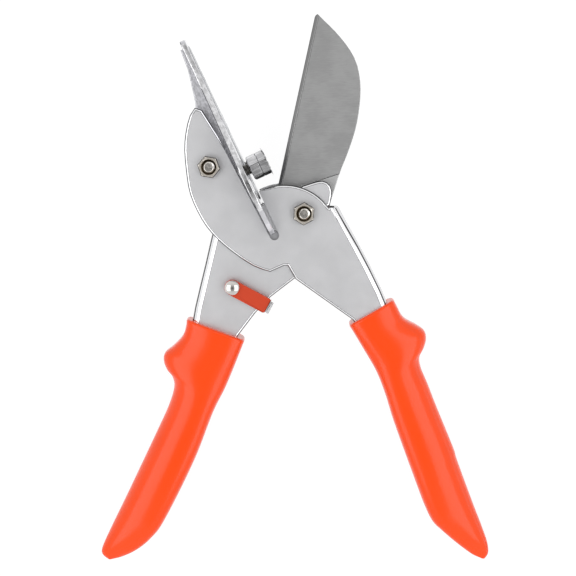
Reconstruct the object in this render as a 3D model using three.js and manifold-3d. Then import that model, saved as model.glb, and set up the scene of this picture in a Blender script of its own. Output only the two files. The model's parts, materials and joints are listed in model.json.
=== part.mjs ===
// Mitre shears, built from two levers folded out of sheet steel that turn on one pivot bolt.
// The right-hand lever carries a cast mitre table with a soft anvil strip and two adjustable stops.
// The left-hand lever sits inside it at the pivot and carries the curved blade, a torsion spring
// opens the jaws, and a small latch swings on the left-hand lever.
// X is to the right and Y towards the jaws, Z is the pivot's axis. All lengths are in millimetres.
import * as THREE from 'three';
import { mergeVertices } from 'three/addons/utils/BufferGeometryUtils.js';
import Module from 'manifold-3d';

const wasm = await Module();
wasm.setup();

const degrees = (angle) => THREE.MathUtils.degToRad(angle);

// Levers in plan: both are drawn as shares of their length along the handle, pivot to grip end
const ANVIL_LEVER_LENGTH = 200;
const BLADE_LEVER_LENGTH = 200;
const TABLE_LEAN = degrees(25.1);
const BLADE_LEAN = degrees(12.3);

// Layers from the middle of the blade outwards
const BLADE_THICKNESS = 2.4;
const SHEET = 1.8;
const RUNNING_GAP = 0.3;
const SPRING_ROOM = 3.6;
const BEND_RADIUS = 3.8;

// Clearances
const FIT_GAP = 0.2;
const SEAT_GAP = 0.3;
const OVERRUN = 1;

// Sixes: every large bolt and nut is this size
const BOLT_DIAMETER = 6;
const ACROSS_FLATS = 10;
const NUT_HEIGHT = 5;
const HEAD_HEIGHT = 4;
const BOLT_STANDOUT = 1.2;
const THREAD_CHAMFER = 0.6;

// Pivot
const BUSH_DIAMETER = 10;
const BLADE_HUB_RADIUS = 12;
const SPACER_RADIUS = 8;

// Blade
const BLADE_LENGTH = 96.7;
const BLADE_WIDTH = 31.4;
const EDGE_OFFSET = 15.2;
const BEVEL_WIDTH = 1.7;
const EDGE_THICKNESS = 0.3;
const GRIND_DEPTH = 0.25;
const TANG_EYE_RADIUS = 6;
const BLADE_RIVET_DIAMETER = 5;
const BLADE_RIVET_HEAD_DIAMETER = 8;
const BLADE_RIVET_REACH = 20;
const BLADE_RIVET_ANGLES = [degrees(218), degrees(268)];

// Mitre table, along from the foot of the pivot and square to that, away from the blade
const TABLE_REACH = 101.5;
const TABLE_HALF_WIDTH = 29;
const PLATE_THICKNESS = 2.7;
const RIB_THICKNESS = 6;
const RIB_DROP = 13;
const BOLT_REACH = 40.5;
const LUG_RADIUS = 7.5;
const TIP_RADIUS = 2.5;
const SLOT_ABOVE = 1.3;
const SLOT_BELOW = 0.7;
const WING_EASE = 2.4;
const STOP_GAP = 0.3;

// Anvil strip and its screws: the clearance is that of a blade edge parallel to the strip
const EDGE_CLEARANCE = 1.2;
const STRIP_PROUD = 0.4;
const STRIP_WIDTH = 11;
const STRIP_START = 15;
const STRIP_LENGTH = 83;
const GROOVE_DEPTH = 1;
const SCREW_DIAMETER = 3;
const SCREW_HEAD_DIAMETER = 5.4;
const SCREW_HEAD_SINK = 0.4;
const SCREW_LENGTH = 5.5;

// Adjustable stops beside the blade
const STOP_REACH = 30.6;
const STOP_SPREAD = 15.5;
const STOP_HEIGHTS = [2.6, 1.3];
const STOP_BOSS_RADIUS = 6;
const STOP_BOSS_DEPTH = 3;
const STOP_BOLT_LENGTH = 17;

// Return spring
const SPRING_WIRE = 1.1;
const SPRING_BORE_GAP = 0.5;
const LEG_ANGLES = [degrees(-42), degrees(212)];

// Latch
const LATCH_RIVET_DIAMETER = 3;
const LATCH_HEAD_DIAMETER = 7.4;
const LATCH_HEAD_HEIGHT = 2;
const LATCH_SHOULDER_DIAMETER = 5.6;
const LATCH_WIDTH = 5.9;
const LATCH_LENGTH = 21.6;
const LATCH_SHEET = 1;
const LATCH_LIP = 2.2;
const LATCH_LEAN = degrees(-28.3);
const SLEEVE_WALL = 0.7;
const SLEEVE_END = 19.8;

// Grips: their sections are superellipses
const GRIP_HALF_DEPTH = 12;
const MOUTH_SQUARENESS = 6;
const NOSE_SQUARENESS = 3;

// Outlines, as shares of the lever's length. The anvil lever's outer line starts above its web's top.
const ANVIL_OUTER_SHARES = [[0.0785, 0.0263], [0.1474, -0.0993], [0.2019, -0.2108],
  [0.2734, -0.3931], [0.3533, -0.5877], [0.376, -0.6493]];
const ANVIL_INNER_SHARES = [[0.1221, -0.2657], [0.1519, -0.3131], [0.2034, -0.406],
  [0.2917, -0.6493]];
const ANVIL_NOTCH_SHARES = [[-0.0203, -0.1641], [-0.0395, -0.1307], [-0.0491, -0.1307],
  [-0.0834, -0.1459]];
const WING_SHARES = [[-0.0834, -0.1459], [-0.1191, -0.1342], [-0.1534, -0.1135],
  [-0.1981, -0.0791], [-0.2287, -0.0488], [-0.2546, -0.0114], [-0.28, 0.0454], [-0.2897, 0.1021],
  [-0.2938, 0.1667], [-0.2855, 0.2226], [-0.2739, 0.251], [-0.2613, 0.2615], [-0.2499, 0.253]];
const WEB_TOP_SHARE = 0.013;
const HUB_CENTRE_SHARES = [-0.0475, -0.064];
const HUB_RADIUS_SHARE = 0.1335;
const WING_EDGE_SHARE = 0.29;

const BLADE_LEVER_OUTER_SHARES = [[-0.2185, -0.0204], [-0.2288, -0.0611], [-0.2465, -0.1376],
  [-0.2745, -0.2555], [-0.3072, -0.437], [-0.3991, -0.6598]];
const BLADE_LEVER_INNER_SHARES = [[-0.1206, -0.2503], [-0.1635, -0.3069], [-0.245, -0.4941],
  [-0.3137, -0.6598]];
const THROAT_SHARES = [[-0.082, -0.2095], [-0.0248, -0.1653], [0.0156, -0.1343], [0.0483, -0.0886]];
const CORNER_SHARES = [[0.0642, 0.0175], [0.0697, 0.0467], [0.0661, 0.0659], [0.053, 0.0774],
  [0.0349, 0.0779], [-0.0023, 0.0664]];
const LATCH_PIVOT_SHARES = [-0.1765, -0.1835];

// Grips: the two edges in plan, then the depth from mouth to nose as shares of the full half depth
const ANVIL_GRIP_INNER_SHARES = [[0.1118, -0.2785], [0.1512, -0.3443], [0.182, -0.3987],
  [0.2048, -0.4577], [0.2278, -0.5304], [0.2827, -0.6813], [0.3053, -0.7404], [0.3241, -0.7777],
  [0.3465, -0.8004], [0.3829, -0.8325], [0.4246, -0.8649], [0.4487, -0.8761]];
const ANVIL_GRIP_OUTER_SHARES = [[0.2223, -0.2154], [0.2331, -0.236], [0.2491, -0.2632],
  [0.2829, -0.2827], [0.3008, -0.2961], [0.3061, -0.3141], [0.3016, -0.3368], [0.2901, -0.3615],
  [0.2933, -0.3889], [0.3105, -0.4298], [0.3335, -0.4884], [0.3765, -0.5929], [0.3866, -0.6248],
  [0.4257, -0.7305], [0.449, -0.7904], [0.465, -0.8362], [0.4678, -0.8641], [0.4592, -0.8778]];
const BLADE_GRIP_INNER_SHARES = [[-0.146, -0.3163], [-0.1912, -0.4289], [-0.226, -0.5002],
  [-0.2743, -0.6236], [-0.3488, -0.774], [-0.3843, -0.8224], [-0.4201, -0.8524],
  [-0.4578, -0.8717], [-0.4854, -0.879]];
const BLADE_GRIP_OUTER_SHARES = [[-0.2894, -0.2637], [-0.2998, -0.3048], [-0.3245, -0.3332],
  [-0.3455, -0.3507], [-0.3502, -0.3698], [-0.3432, -0.392], [-0.3285, -0.4122],
  [-0.3246, -0.4401], [-0.3388, -0.4868], [-0.3684, -0.5518], [-0.4427, -0.709],
  [-0.4768, -0.7793], [-0.5005, -0.8293], [-0.5106, -0.8567], [-0.5066, -0.8699],
  [-0.4948, -0.8784]];
const GRIP_DEPTH_SHARES = [0.97, 1, 1, 0.98, 0.97, 0.98, 0.98, 0.95, 0.86, 0.62, 0.22];

// Blade back from the hub to the tip: width from the cutting edge, then length from the pivot
const BLADE_BACK_SHARES = [[0.857, 0.056], [0.882, 0.145], [0.907, 0.235], [0.961, 0.342], [1, 0.465],
  [0.99, 0.569], [0.952, 0.661], [0.886, 0.736], [0.78, 0.806], [0.615, 0.867], [0.374, 0.929],
  [0.14, 0.977], [0.03, 1]];
const BLADE_CORNER_SHARE = 0.985;
const BLADE_HEEL_SHARE = -0.028;
const GRIND_LINE_SHARES = [0.057, 0.25];

// Table: half width at each share of the reach, and the rib's reach and drop
const TABLE_PLAN_SHARES = [[-0.054, 0.38], [0.03, 0.72], [0.13, 0.94], [0.24, 1], [0.34, 0.97],
  [0.46, 0.84], [0.62, 0.64], [0.8, 0.48], [0.976, 0.41]];
const RIB_SHARES = [[0.965, 0], [0.965, 0.12], [0.86, 0.19], [0.704, 0.46], [0.56, 0.97],
  [0.46, 1.35], [0.34, 1.4], [0.25, 1], [0.16, 0.3], [0.05, 0]];
const SCREW_PLACE_SHARES = [0.1, 0.45, 0.8];

// Worked out from the sizes above
const bladeFace = BLADE_THICKNESS / 2;
const bladeLeverInside = bladeFace + SPRING_ROOM;
const bladeLeverFace = bladeLeverInside + SHEET;
const anvilLeverInside = bladeLeverFace + RUNNING_GAP;
const anvilLeverFace = anvilLeverInside + SHEET;
const boltRadius = BOLT_DIAMETER / 2;
const bushRadius = BUSH_DIAMETER / 2;
const anvilLevel = EDGE_OFFSET + EDGE_CLEARANCE;
const tableLevel = anvilLevel + STRIP_PROUD;
const tableUnderside = tableLevel + PLATE_THICKNESS;
const boltLevel = tableUnderside + RIB_DROP;
const tailReach = -TABLE_PLAN_SHARES[0][0] * TABLE_REACH;

// Plan points and curves
const scaled = (shares, size) => shares.map(([x, y]) => new THREE.Vector2(x * size, y * size));

const smooth = (points, steps) => new THREE.SplineCurve(points).getSpacedPoints(steps);

function arc(centre, radius, from, to, steps) {
  const points = [];
  for (let i = 0; i <= steps; i += 1) {
    const angle = from + (to - from) * i / steps;
    points.push(new THREE.Vector2(Math.cos(angle), Math.sin(angle)).multiplyScalar(radius).add(centre));
  }
  return points;
}

// A point of the table's frame: along the table, and its level from the pivot away from the blade
function onTable(along, level) {
  return new THREE.Vector2(-level, along).rotateAround(new THREE.Vector2(), TABLE_LEAN);
}

// The path moved sideways, to the side that the turn gives: +1 left of its run, -1 right of it
function beside(path, distance, side) {
  return path.map((point, i) => {
    const before = path[Math.max(i - 1, 0)];
    const after = path[Math.min(i + 1, path.length - 1)];
    const run = after.clone().sub(before).normalize();
    return new THREE.Vector2(-run.y, run.x).multiplyScalar(distance * side).add(point);
  });
}

// The outline round two circles and the straight lines that touch both
function strap(from, fromRadius, to, toRadius) {
  const run = to.clone().sub(from);
  const turn = Math.acos((fromRadius - toRadius) / run.length());
  const heading = run.angle();
  return [
    ...arc(from, fromRadius, heading + turn, heading + 2 * Math.PI - turn, 10),
    ...arc(to, toRadius, heading - turn, heading + turn, 8),
  ];
}

// Closed bodies
function signedVolume(vertices, triangles) {
  const corner = (i) => new THREE.Vector3().fromArray(vertices, 3 * triangles[i]);
  let sum = 0;
  for (let i = 0; i < triangles.length; i += 3) {
    sum += corner(i).dot(corner(i + 1).cross(corner(i + 2)));
  }
  return sum / 6;
}

// A solid for the booleans: shared corners merged, flat-sided triangles dropped, faces turned out
function toSolid(geometry) {
  const bare = geometry.clone();
  bare.deleteAttribute('normal');
  bare.deleteAttribute('uv');
  const merged = mergeVertices(bare);
  const vertices = merged.attributes.position.array;
  const triangles = [];
  for (let i = 0; i < merged.index.count; i += 3) {
    const [a, b, c] = [0, 1, 2].map((k) => merged.index.getX(i + k));
    if (a !== b && b !== c && c !== a) triangles.push(a, b, c);
  }
  if (signedVolume(vertices, triangles) < 0) triangles.reverse();
  return new wasm.Manifold(new wasm.Mesh({
    numProp: 3,
    vertProperties: new Float32Array(vertices),
    triVerts: new Uint32Array(triangles),
  }));
}

function toGeometry(solid) {
  const mesh = solid.getMesh();
  const geometry = new THREE.BufferGeometry();
  geometry.setAttribute('position', new THREE.BufferAttribute(mesh.vertProperties, 3));
  geometry.setIndex(new THREE.BufferAttribute(mesh.triVerts, 1));
  return geometry;
}

const join = (first, ...rest) => toGeometry(rest.reduce((all, g) => all.add(toSolid(g)), toSolid(first)));
const cut = (first, ...rest) => toGeometry(rest.reduce((all, g) => all.subtract(toSolid(g)), toSolid(first)));
const overlap = (first, second) => toGeometry(toSolid(first).intersect(toSolid(second)));

// An outline in plan raised from one height to another
function prism(outline, low, high) {
  const geometry = new THREE.ExtrudeGeometry(new THREE.Shape(outline), { depth: 1, bevelEnabled: false });
  const position = geometry.attributes.position;
  for (let i = 0; i < position.count; i += 1) position.setZ(i, position.getZ(i) > 0 ? high : low);
  return geometry;
}

const block = (x0, x1, y0, y1, low, high) => prism(
  [[x0, y0], [x1, y0], [x1, y1], [x0, y1]].map(([x, y]) => new THREE.Vector2(x, y)), low, high);

// A profile of radius and height turned about Z
function turned(profile, sides = 24) {
  const points = profile.map(([radius, height]) => new THREE.Vector2(radius, height));
  return new THREE.LatheGeometry(points, sides).rotateX(Math.PI / 2);
}

const rod = (radius, low, high, sides) => turned([[0, low], [radius, low], [radius, high], [0, high]], sides);

const ring = (inner, outer, low, high, sides) => turned(
  [[inner, low], [outer, low], [outer, high], [inner, high], [inner, low]], sides);

// The same body on the other side of the middle plane
const mirrored = (geometry) => toGeometry(toSolid(geometry.clone().scale(1, 1, -1)));

// A skin through rings of points, closed by a flat end cut like the section
function loft(rings, section) {
  const count = section.length;
  const vertices = rings.flat().flatMap((point) => point.toArray());
  const triangles = [];
  for (let r = 0; r + 1 < rings.length; r += 1) {
    for (let i = 0; i < count; i += 1) {
      const a = r * count + i;
      const b = r * count + (i + 1) % count;
      triangles.push(a, b, a + count, b, b + count, a + count);
    }
  }
  const last = (rings.length - 1) * count;
  for (const [a, b, c] of THREE.ShapeUtils.triangulateShape(section, [])) {
    triangles.push(a, c, b, last + a, last + b, last + c);
  }
  const geometry = new THREE.BufferGeometry();
  geometry.setAttribute('position', new THREE.Float32BufferAttribute(vertices, 3));
  return geometry.setIndex(triangles);
}

// Hexagon stock with its far corners turned off at 30 degrees, from height low to high
function hexagon(low, high, chamferLow, chamferHigh) {
  const corner = ACROSS_FLATS / 2 / Math.cos(Math.PI / 6);
  const flat = ACROSS_FLATS / 2;
  const drop = (corner - flat) * Math.tan(Math.PI / 6);
  const stock = prism(arc(new THREE.Vector2(), corner, 0, 2 * Math.PI * 5 / 6, 5), low, high);
  const blank = [[0, low]];
  if (chamferLow) blank.push([flat, low], [corner, low + drop]);
  else blank.push([corner, low]);
  if (chamferHigh) blank.push([corner, high - drop], [flat, high]);
  else blank.push([corner, high]);
  blank.push([0, high]);
  return overlap(stock, turned(blank, 36));
}

const nut = (low) => cut(hexagon(low, low + NUT_HEIGHT, false, true),
  rod(boltRadius + FIT_GAP, low - OVERRUN, low + NUT_HEIGHT + OVERRUN));

// A bolt standing on Z: its head hangs below the height given, its shank runs up from there
function bolt(under, length) {
  const end = under + length;
  const shank = turned([[0, under - OVERRUN], [boltRadius, under - OVERRUN], [boltRadius, end - THREAD_CHAMFER],
    [boltRadius - THREAD_CHAMFER, end], [0, end]]);
  return join(hexagon(under - HEAD_HEIGHT, under, true, false), shank);
}

// A section swept along a channel's outer line: X runs in from that line, Y is the height
function swept(path, section, face, side) {
  const lines = section.map((point) => beside(path, point.x, side));
  const rings = path.map((_, i) => section.map((point, k) => new THREE.Vector3(
    lines[k][i].x, lines[k][i].y, exactHeight(point.y, face))));
  return loft(rings, section);
}

// The rounded back of a channel's section, grown by a gap
function channelBack(face, gap) {
  const centre = (sign) => new THREE.Vector2(BEND_RADIUS, sign * (face - BEND_RADIUS));
  return [
    ...arc(centre(1), BEND_RADIUS + gap, Math.PI / 2, Math.PI, 4),
    ...arc(centre(-1), BEND_RADIUS + gap, Math.PI, 1.5 * Math.PI, 4),
  ];
}

// A channel's web and both bends; its legs lap into the flat cheeks
function channel(path, face, side) {
  const leg = BEND_RADIUS + SHEET;
  const hollow = channelBack(face, -SHEET).reverse();
  const section = [new THREE.Vector2(leg, face), ...channelBack(face, 0), new THREE.Vector2(leg, -face),
    new THREE.Vector2(leg, SHEET - face), ...hollow, new THREE.Vector2(leg, face - SHEET)];
  return swept(path, section, face, side);
}

// Leg heights that match the cheeks' to the last digit
function exactHeight(height, face) {
  const near = [face, face - SHEET].find((level) => Math.abs(Math.abs(height) - level) < SHEET / 1000);
  return near === undefined ? height : Math.sign(height) * near;
}

// Both cheeks of a lever: one outline, front and back
function cheeks(outline, face) {
  const front = prism(outline, face - SHEET, face);
  return [front, mirrored(front)];
}

// A path run on past its end
function lengthened(path, by) {
  const end = path.at(-1);
  return [...path, end.clone().sub(path.at(-2)).setLength(by).add(end)];
}

// One layer of a handle: between its web's back, moved in by a depth, and its inner edge, moved on by a margin
function handleLayer(outer, inner, side, face, inset, margin, reach) {
  const back = lengthened(outer, reach);
  const level = face - inset;
  const outline = [
    ...beside(back, BEND_RADIUS, side),
    ...beside(lengthened(inner, reach), margin, side).reverse(),
  ];
  const lap = new THREE.Vector2(BEND_RADIUS + SHEET, 0);
  const section = [lap.clone().setY(level), ...channelBack(face, -inset), lap.clone().setY(-level)];
  return join(prism(outline, -level, level), swept(back, section, level, side));
}

// The room that a handle's steel takes in its grip, which fills the channel between the cheeks
function handleRoom(outer, inner, side, face) {
  const around = handleLayer(outer, inner, side, face, -FIT_GAP, FIT_GAP, BEND_RADIUS);
  const core = handleLayer(outer, inner, side, face, SHEET + FIT_GAP, FIT_GAP + OVERRUN, BEND_RADIUS + OVERRUN);
  return cut(around, core);
}

// A moulded grip between two edge curves, squarer at its mouth than at its nose, with room for the steel
function grip(innerShares, outerShares, length, room) {
  const stations = 44;
  const inner = smooth(scaled(innerShares, length), stations);
  const outer = smooth(scaled(outerShares, length), stations);
  const depth = new THREE.SplineCurve(GRIP_DEPTH_SHARES.map((share, i) => new THREE.Vector2(i, share)));
  const corner = (value, squareness) => Math.sign(value) * Math.abs(value) ** (2 / squareness);
  const section = arc(new THREE.Vector2(), 1, 0, 2 * Math.PI * 15 / 16, 15);
  const rings = inner.map((near, i) => {
    const middle = near.clone().add(outer[i]).multiplyScalar(0.5);
    const half = outer[i].clone().sub(middle);
    const rise = GRIP_HALF_DEPTH * depth.getPoint(i / stations).y;
    const squareness = NOSE_SQUARENESS + (MOUTH_SQUARENESS - NOSE_SQUARENESS) * (1 - i / stations) ** 2;
    return section.map(({ x, y }) => new THREE.Vector3(middle.x + half.x * corner(x, squareness),
      middle.y + half.y * corner(x, squareness), rise * corner(y, squareness)));
  });
  return cut(loft(rings, section), room);
}

// Colours and finishes
const steel = (color, roughness) => new THREE.MeshStandardMaterial({ color, roughness, metalness: 1 });
const moulded = (color, roughness) => new THREE.MeshStandardMaterial({ color, roughness, metalness: 0 });

function piece(parent, name, geometry, material) {
  geometry.computeVertexNormals();
  const mesh = new THREE.Mesh(geometry, material);
  mesh.name = name;
  parent.add(mesh);
  return mesh;
}

const shears = new THREE.Group();
const tool = new THREE.Group();
const jaw = new THREE.Group();
const bladeFrame = new THREE.Group();
jaw.rotation.z = TABLE_LEAN;
bladeFrame.rotation.z = -BLADE_LEAN;
tool.add(jaw, bladeFrame);
shears.add(tool);

const pivot = new THREE.Vector2();
const tableBolt = onTable(BOLT_REACH, boltLevel);
const bladeRivets = BLADE_RIVET_ANGLES.map((angle) => new THREE.Vector2(BLADE_RIVET_REACH, 0)
  .rotateAround(pivot, angle));
const latchPivot = scaled([LATCH_PIVOT_SHARES], BLADE_LEVER_LENGTH)[0];

// Anvil lever: hub, wing and handle in one outline, slotted for the table's tails
const anvilOuter = smooth(scaled(ANVIL_OUTER_SHARES, ANVIL_LEVER_LENGTH), 12);
const anvilInner = scaled(ANVIL_INNER_SHARES, ANVIL_LEVER_LENGTH);
const webTop = WEB_TOP_SHARE * ANVIL_LEVER_LENGTH;

function anvilLever() {
  const hubCentre = scaled([HUB_CENTRE_SHARES], ANVIL_LEVER_LENGTH)[0];
  const hubRadius = HUB_RADIUS_SHARE * ANVIL_LEVER_LENGTH;
  const hubInJaw = hubCentre.clone().rotateAround(pivot, -TABLE_LEAN);
  const slotRoof = tableLevel - SLOT_ABOVE;
  const slotFloor = tableUnderside + SLOT_BELOW;
  const slotRadius = (slotFloor - slotRoof) / 2;
  const slotCentre = onTable(slotRadius - tailReach - SLOT_BELOW, (slotFloor + slotRoof) / 2);
  const drop = slotRoof + hubInJaw.x;
  const hubMeetsSlot = Math.PI / 2 + TABLE_LEAN + Math.asin(drop / hubRadius);
  const hubEnd = Math.asin((webTop - hubCentre.y) / hubRadius);
  const bendLine = beside(anvilOuter, BEND_RADIUS, -1).filter((point) => point.y < webTop - BEND_RADIUS / 2);
  const outline = [
    ...arc(hubCentre, hubRadius, hubMeetsSlot, hubEnd, 16),
    ...bendLine,
    ...anvilInner.slice().reverse(),
    ...scaled(ANVIL_NOTCH_SHARES, ANVIL_LEVER_LENGTH).slice(0, -1),
    ...smooth(scaled(WING_SHARES, ANVIL_LEVER_LENGTH), 24),
    onTable(WING_EDGE_SHARE * ANVIL_LEVER_LENGTH, slotFloor + WING_EASE),
    ...arc(slotCentre, slotRadius, TABLE_LEAN + Math.PI, TABLE_LEAN + 2 * Math.PI, 8),
  ];
  const trim = block(0, ANVIL_LEVER_LENGTH, webTop, ANVIL_LEVER_LENGTH, -anvilLeverFace - OVERRUN,
    anvilLeverFace + OVERRUN);
  const web = cut(channel(anvilOuter, anvilLeverFace, -1), trim);
  const holes = [pivot, tableBolt].map((point) => rod(boltRadius + FIT_GAP, -anvilLeverFace - OVERRUN,
    anvilLeverFace + OVERRUN).translate(point.x, point.y, 0));
  return cut(join(...cheeks(outline, anvilLeverFace), web), ...holes);
}

const anvilRoom = handleRoom(anvilOuter, anvilInner, -1, anvilLeverFace);
piece(tool, 'anvil_lever', anvilLever(), steel('#c5c5c8', 0.38));
piece(tool, 'anvil_grip', grip(ANVIL_GRIP_INNER_SHARES, ANVIL_GRIP_OUTER_SHARES, ANVIL_LEVER_LENGTH, anvilRoom),
  moulded('#fe5322', 0.35));

// Blade lever: the neck's top edge runs straight from the web's top to the round of the hub
const bladeOuter = smooth(scaled(BLADE_LEVER_OUTER_SHARES, BLADE_LEVER_LENGTH), 12);
const bladeInner = scaled(BLADE_LEVER_INNER_SHARES, BLADE_LEVER_LENGTH);
const bladeBendLine = beside(bladeOuter, BEND_RADIUS, 1);
const shoulder = bladeBendLine[0];
const neckAngle = shoulder.angle() - Math.acos(BLADE_HUB_RADIUS / shoulder.length());

function bladeLever() {
  const throat = scaled(THROAT_SHARES, BLADE_LEVER_LENGTH);
  const corner = smooth(scaled(CORNER_SHARES, BLADE_LEVER_LENGTH), 10);
  const outline = [
    ...arc(pivot, BLADE_HUB_RADIUS, throat.at(-1).angle() - 2 * Math.PI + degrees(30), corner[0].angle(), 6),
    ...corner,
    ...arc(pivot, BLADE_HUB_RADIUS, neckAngle - degrees(12), neckAngle, 2),
    ...bladeBendLine,
    ...bladeInner.slice().reverse(),
    ...throat,
  ];
  const through = (radius, point) => rod(radius, -bladeLeverFace - OVERRUN, bladeLeverFace + OVERRUN)
    .translate(point.x, point.y, 0);
  return cut(
    join(...cheeks(outline, bladeLeverFace), channel(bladeOuter, bladeLeverFace, 1)),
    through(bushRadius + FIT_GAP, pivot),
    ...bladeRivets.map((point) => turned(rivetProfile(FIT_GAP)).translate(point.x, point.y, 0)),
    rod(LATCH_RIVET_DIAMETER / 2 + FIT_GAP, 0, bladeLeverFace + OVERRUN).translate(latchPivot.x, latchPivot.y, 0),
  );
}

// Flush rivet: straight through the blade, its two heads filling the cheeks' countersinks
function rivetProfile(gap) {
  const shank = BLADE_RIVET_DIAMETER / 2 + gap;
  const head = BLADE_RIVET_HEAD_DIAMETER / 2 + gap;
  const slope = head - shank;
  return [[0, -bladeLeverFace], [head, -bladeLeverFace], [shank, slope - bladeLeverFace],
    [shank, bladeLeverFace - slope], [head, bladeLeverFace], [0, bladeLeverFace]];
}

const bladeRoom = handleRoom(bladeOuter, bladeInner, 1, bladeLeverFace);
piece(tool, 'blade_lever', bladeLever(), steel('#c0c0c2', 0.38));
piece(tool, 'blade_grip', grip(BLADE_GRIP_INNER_SHARES, BLADE_GRIP_OUTER_SHARES, BLADE_LEVER_LENGTH, bladeRoom),
  moulded('#fe5322', 0.35));

// Blade, drawn with its cutting edge along Y: a bowed back, a ground face and a bevelled edge
function blade() {
  const back = smooth(BLADE_BACK_SHARES.map(([width, length]) => new THREE.Vector2(
    width * BLADE_WIDTH - EDGE_OFFSET, length * BLADE_LENGTH)), 26);
  const heel = new THREE.Vector2(-EDGE_OFFSET, BLADE_HEEL_SHARE * BLADE_LENGTH);
  const corner = new THREE.Vector2(-EDGE_OFFSET, BLADE_CORNER_SHARE * BLADE_LENGTH);
  const eyes = bladeRivets.map((point) => point.clone().rotateAround(pivot, BLADE_LEAN));
  const straps = [[pivot, BLADE_HUB_RADIUS, eyes[0]], [pivot, BLADE_HUB_RADIUS, eyes[1]],
    [eyes[0], TANG_EYE_RADIUS, eyes[1]]].map(([from, radius, to]) => prism(
    strap(from, radius, to, TANG_EYE_RADIUS), -bladeFace, bladeFace));
  const body = join(prism([heel, pivot, ...back, corner], -bladeFace, bladeFace), ...straps);
  const side = BLADE_WIDTH + OVERRUN;
  const [near, far] = GRIND_LINE_SHARES.map((share) => share * BLADE_LENGTH);
  const slope = (far - near) / BLADE_WIDTH;
  const ground = prism([
    new THREE.Vector2(-EDGE_OFFSET - side, near - side * slope),
    new THREE.Vector2(side, near + (side + EDGE_OFFSET) * slope),
    new THREE.Vector2(side, BLADE_LENGTH + OVERRUN),
    new THREE.Vector2(-EDGE_OFFSET - side, BLADE_LENGTH + OVERRUN),
  ], bladeFace - GRIND_DEPTH, bladeFace + OVERRUN);
  const faceX = BEVEL_WIDTH - EDGE_OFFSET;
  const rise = (bladeFace - GRIND_DEPTH - EDGE_THICKNESS / 2) / BEVEL_WIDTH;
  const bevel = prism([
    new THREE.Vector2(EDGE_THICKNESS / 2 - OVERRUN * rise, -EDGE_OFFSET - OVERRUN),
    new THREE.Vector2(bladeFace - GRIND_DEPTH + OVERRUN * rise, faceX + OVERRUN),
    new THREE.Vector2(bladeFace + OVERRUN, faceX + OVERRUN),
    new THREE.Vector2(bladeFace + OVERRUN, -EDGE_OFFSET - OVERRUN),
  ], heel.y - OVERRUN, BLADE_LENGTH + OVERRUN).applyMatrix4(new THREE.Matrix4().makeBasis(
    new THREE.Vector3(0, 0, 1), new THREE.Vector3(1, 0, 0), new THREE.Vector3(0, 1, 0)));
  const bore = rod(bushRadius + FIT_GAP, -BLADE_THICKNESS, BLADE_THICKNESS);
  const eyeHoles = eyes.map((point) => rod(BLADE_RIVET_DIAMETER / 2 + FIT_GAP, -BLADE_THICKNESS, BLADE_THICKNESS)
    .translate(point.x, point.y, 0));
  return cut(body, ground, mirrored(ground), bevel, mirrored(bevel), bore, ...eyeHoles);
}

piece(bladeFrame, 'blade', blade(), steel('#9c9c9c', 0.42));
bladeRivets.forEach((point, i) => {
  const place = ['upper', 'lower'][i];
  piece(tool, `blade_rivet_${place}`, turned(rivetProfile(0)), steel('#b0b0b2', 0.4)).position.set(point.x, point.y, 0);
  const spacer = () => ring(BLADE_RIVET_DIAMETER / 2 + FIT_GAP, BLADE_RIVET_HEAD_DIAMETER / 2, bladeFace,
    bladeLeverInside, 20);
  piece(tool, `rivet_spacer_${place}_front`, spacer(), steel('#a8a8aa', 0.45)).position.set(point.x, point.y, 0);
  piece(tool, `rivet_spacer_${place}_back`, mirrored(spacer()), steel('#a8a8aa', 0.45)).position.set(point.x,
    point.y, 0);
});

// Pivot: bolt, nut, the bush that both cheeks clamp, and the spacer that fills the back of the blade
const boltLength = 2 * anvilLeverFace + NUT_HEIGHT + BOLT_STANDOUT;
const fastened = [['pivot', pivot, degrees(28)], ['table', tableBolt, degrees(-10)]];
for (const [place, point, turn] of fastened) {
  const parts = [[`${place}_bolt`, bolt(-anvilLeverFace, boltLength)], [`${place}_nut`, nut(anvilLeverFace)]];
  for (const [name, geometry] of parts) {
    piece(tool, name, geometry.rotateZ(turn), steel('#c2bdb9', 0.3)).position.set(point.x, point.y, 0);
  }
}
piece(tool, 'pivot_bush', ring(boltRadius + FIT_GAP, bushRadius, -anvilLeverInside, anvilLeverInside),
  steel('#b8a878', 0.4));
piece(tool, 'pivot_spacer', ring(bushRadius + FIT_GAP, SPACER_RADIUS, -bladeLeverInside, -bladeFace),
  steel('#a8a8aa', 0.45));

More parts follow.
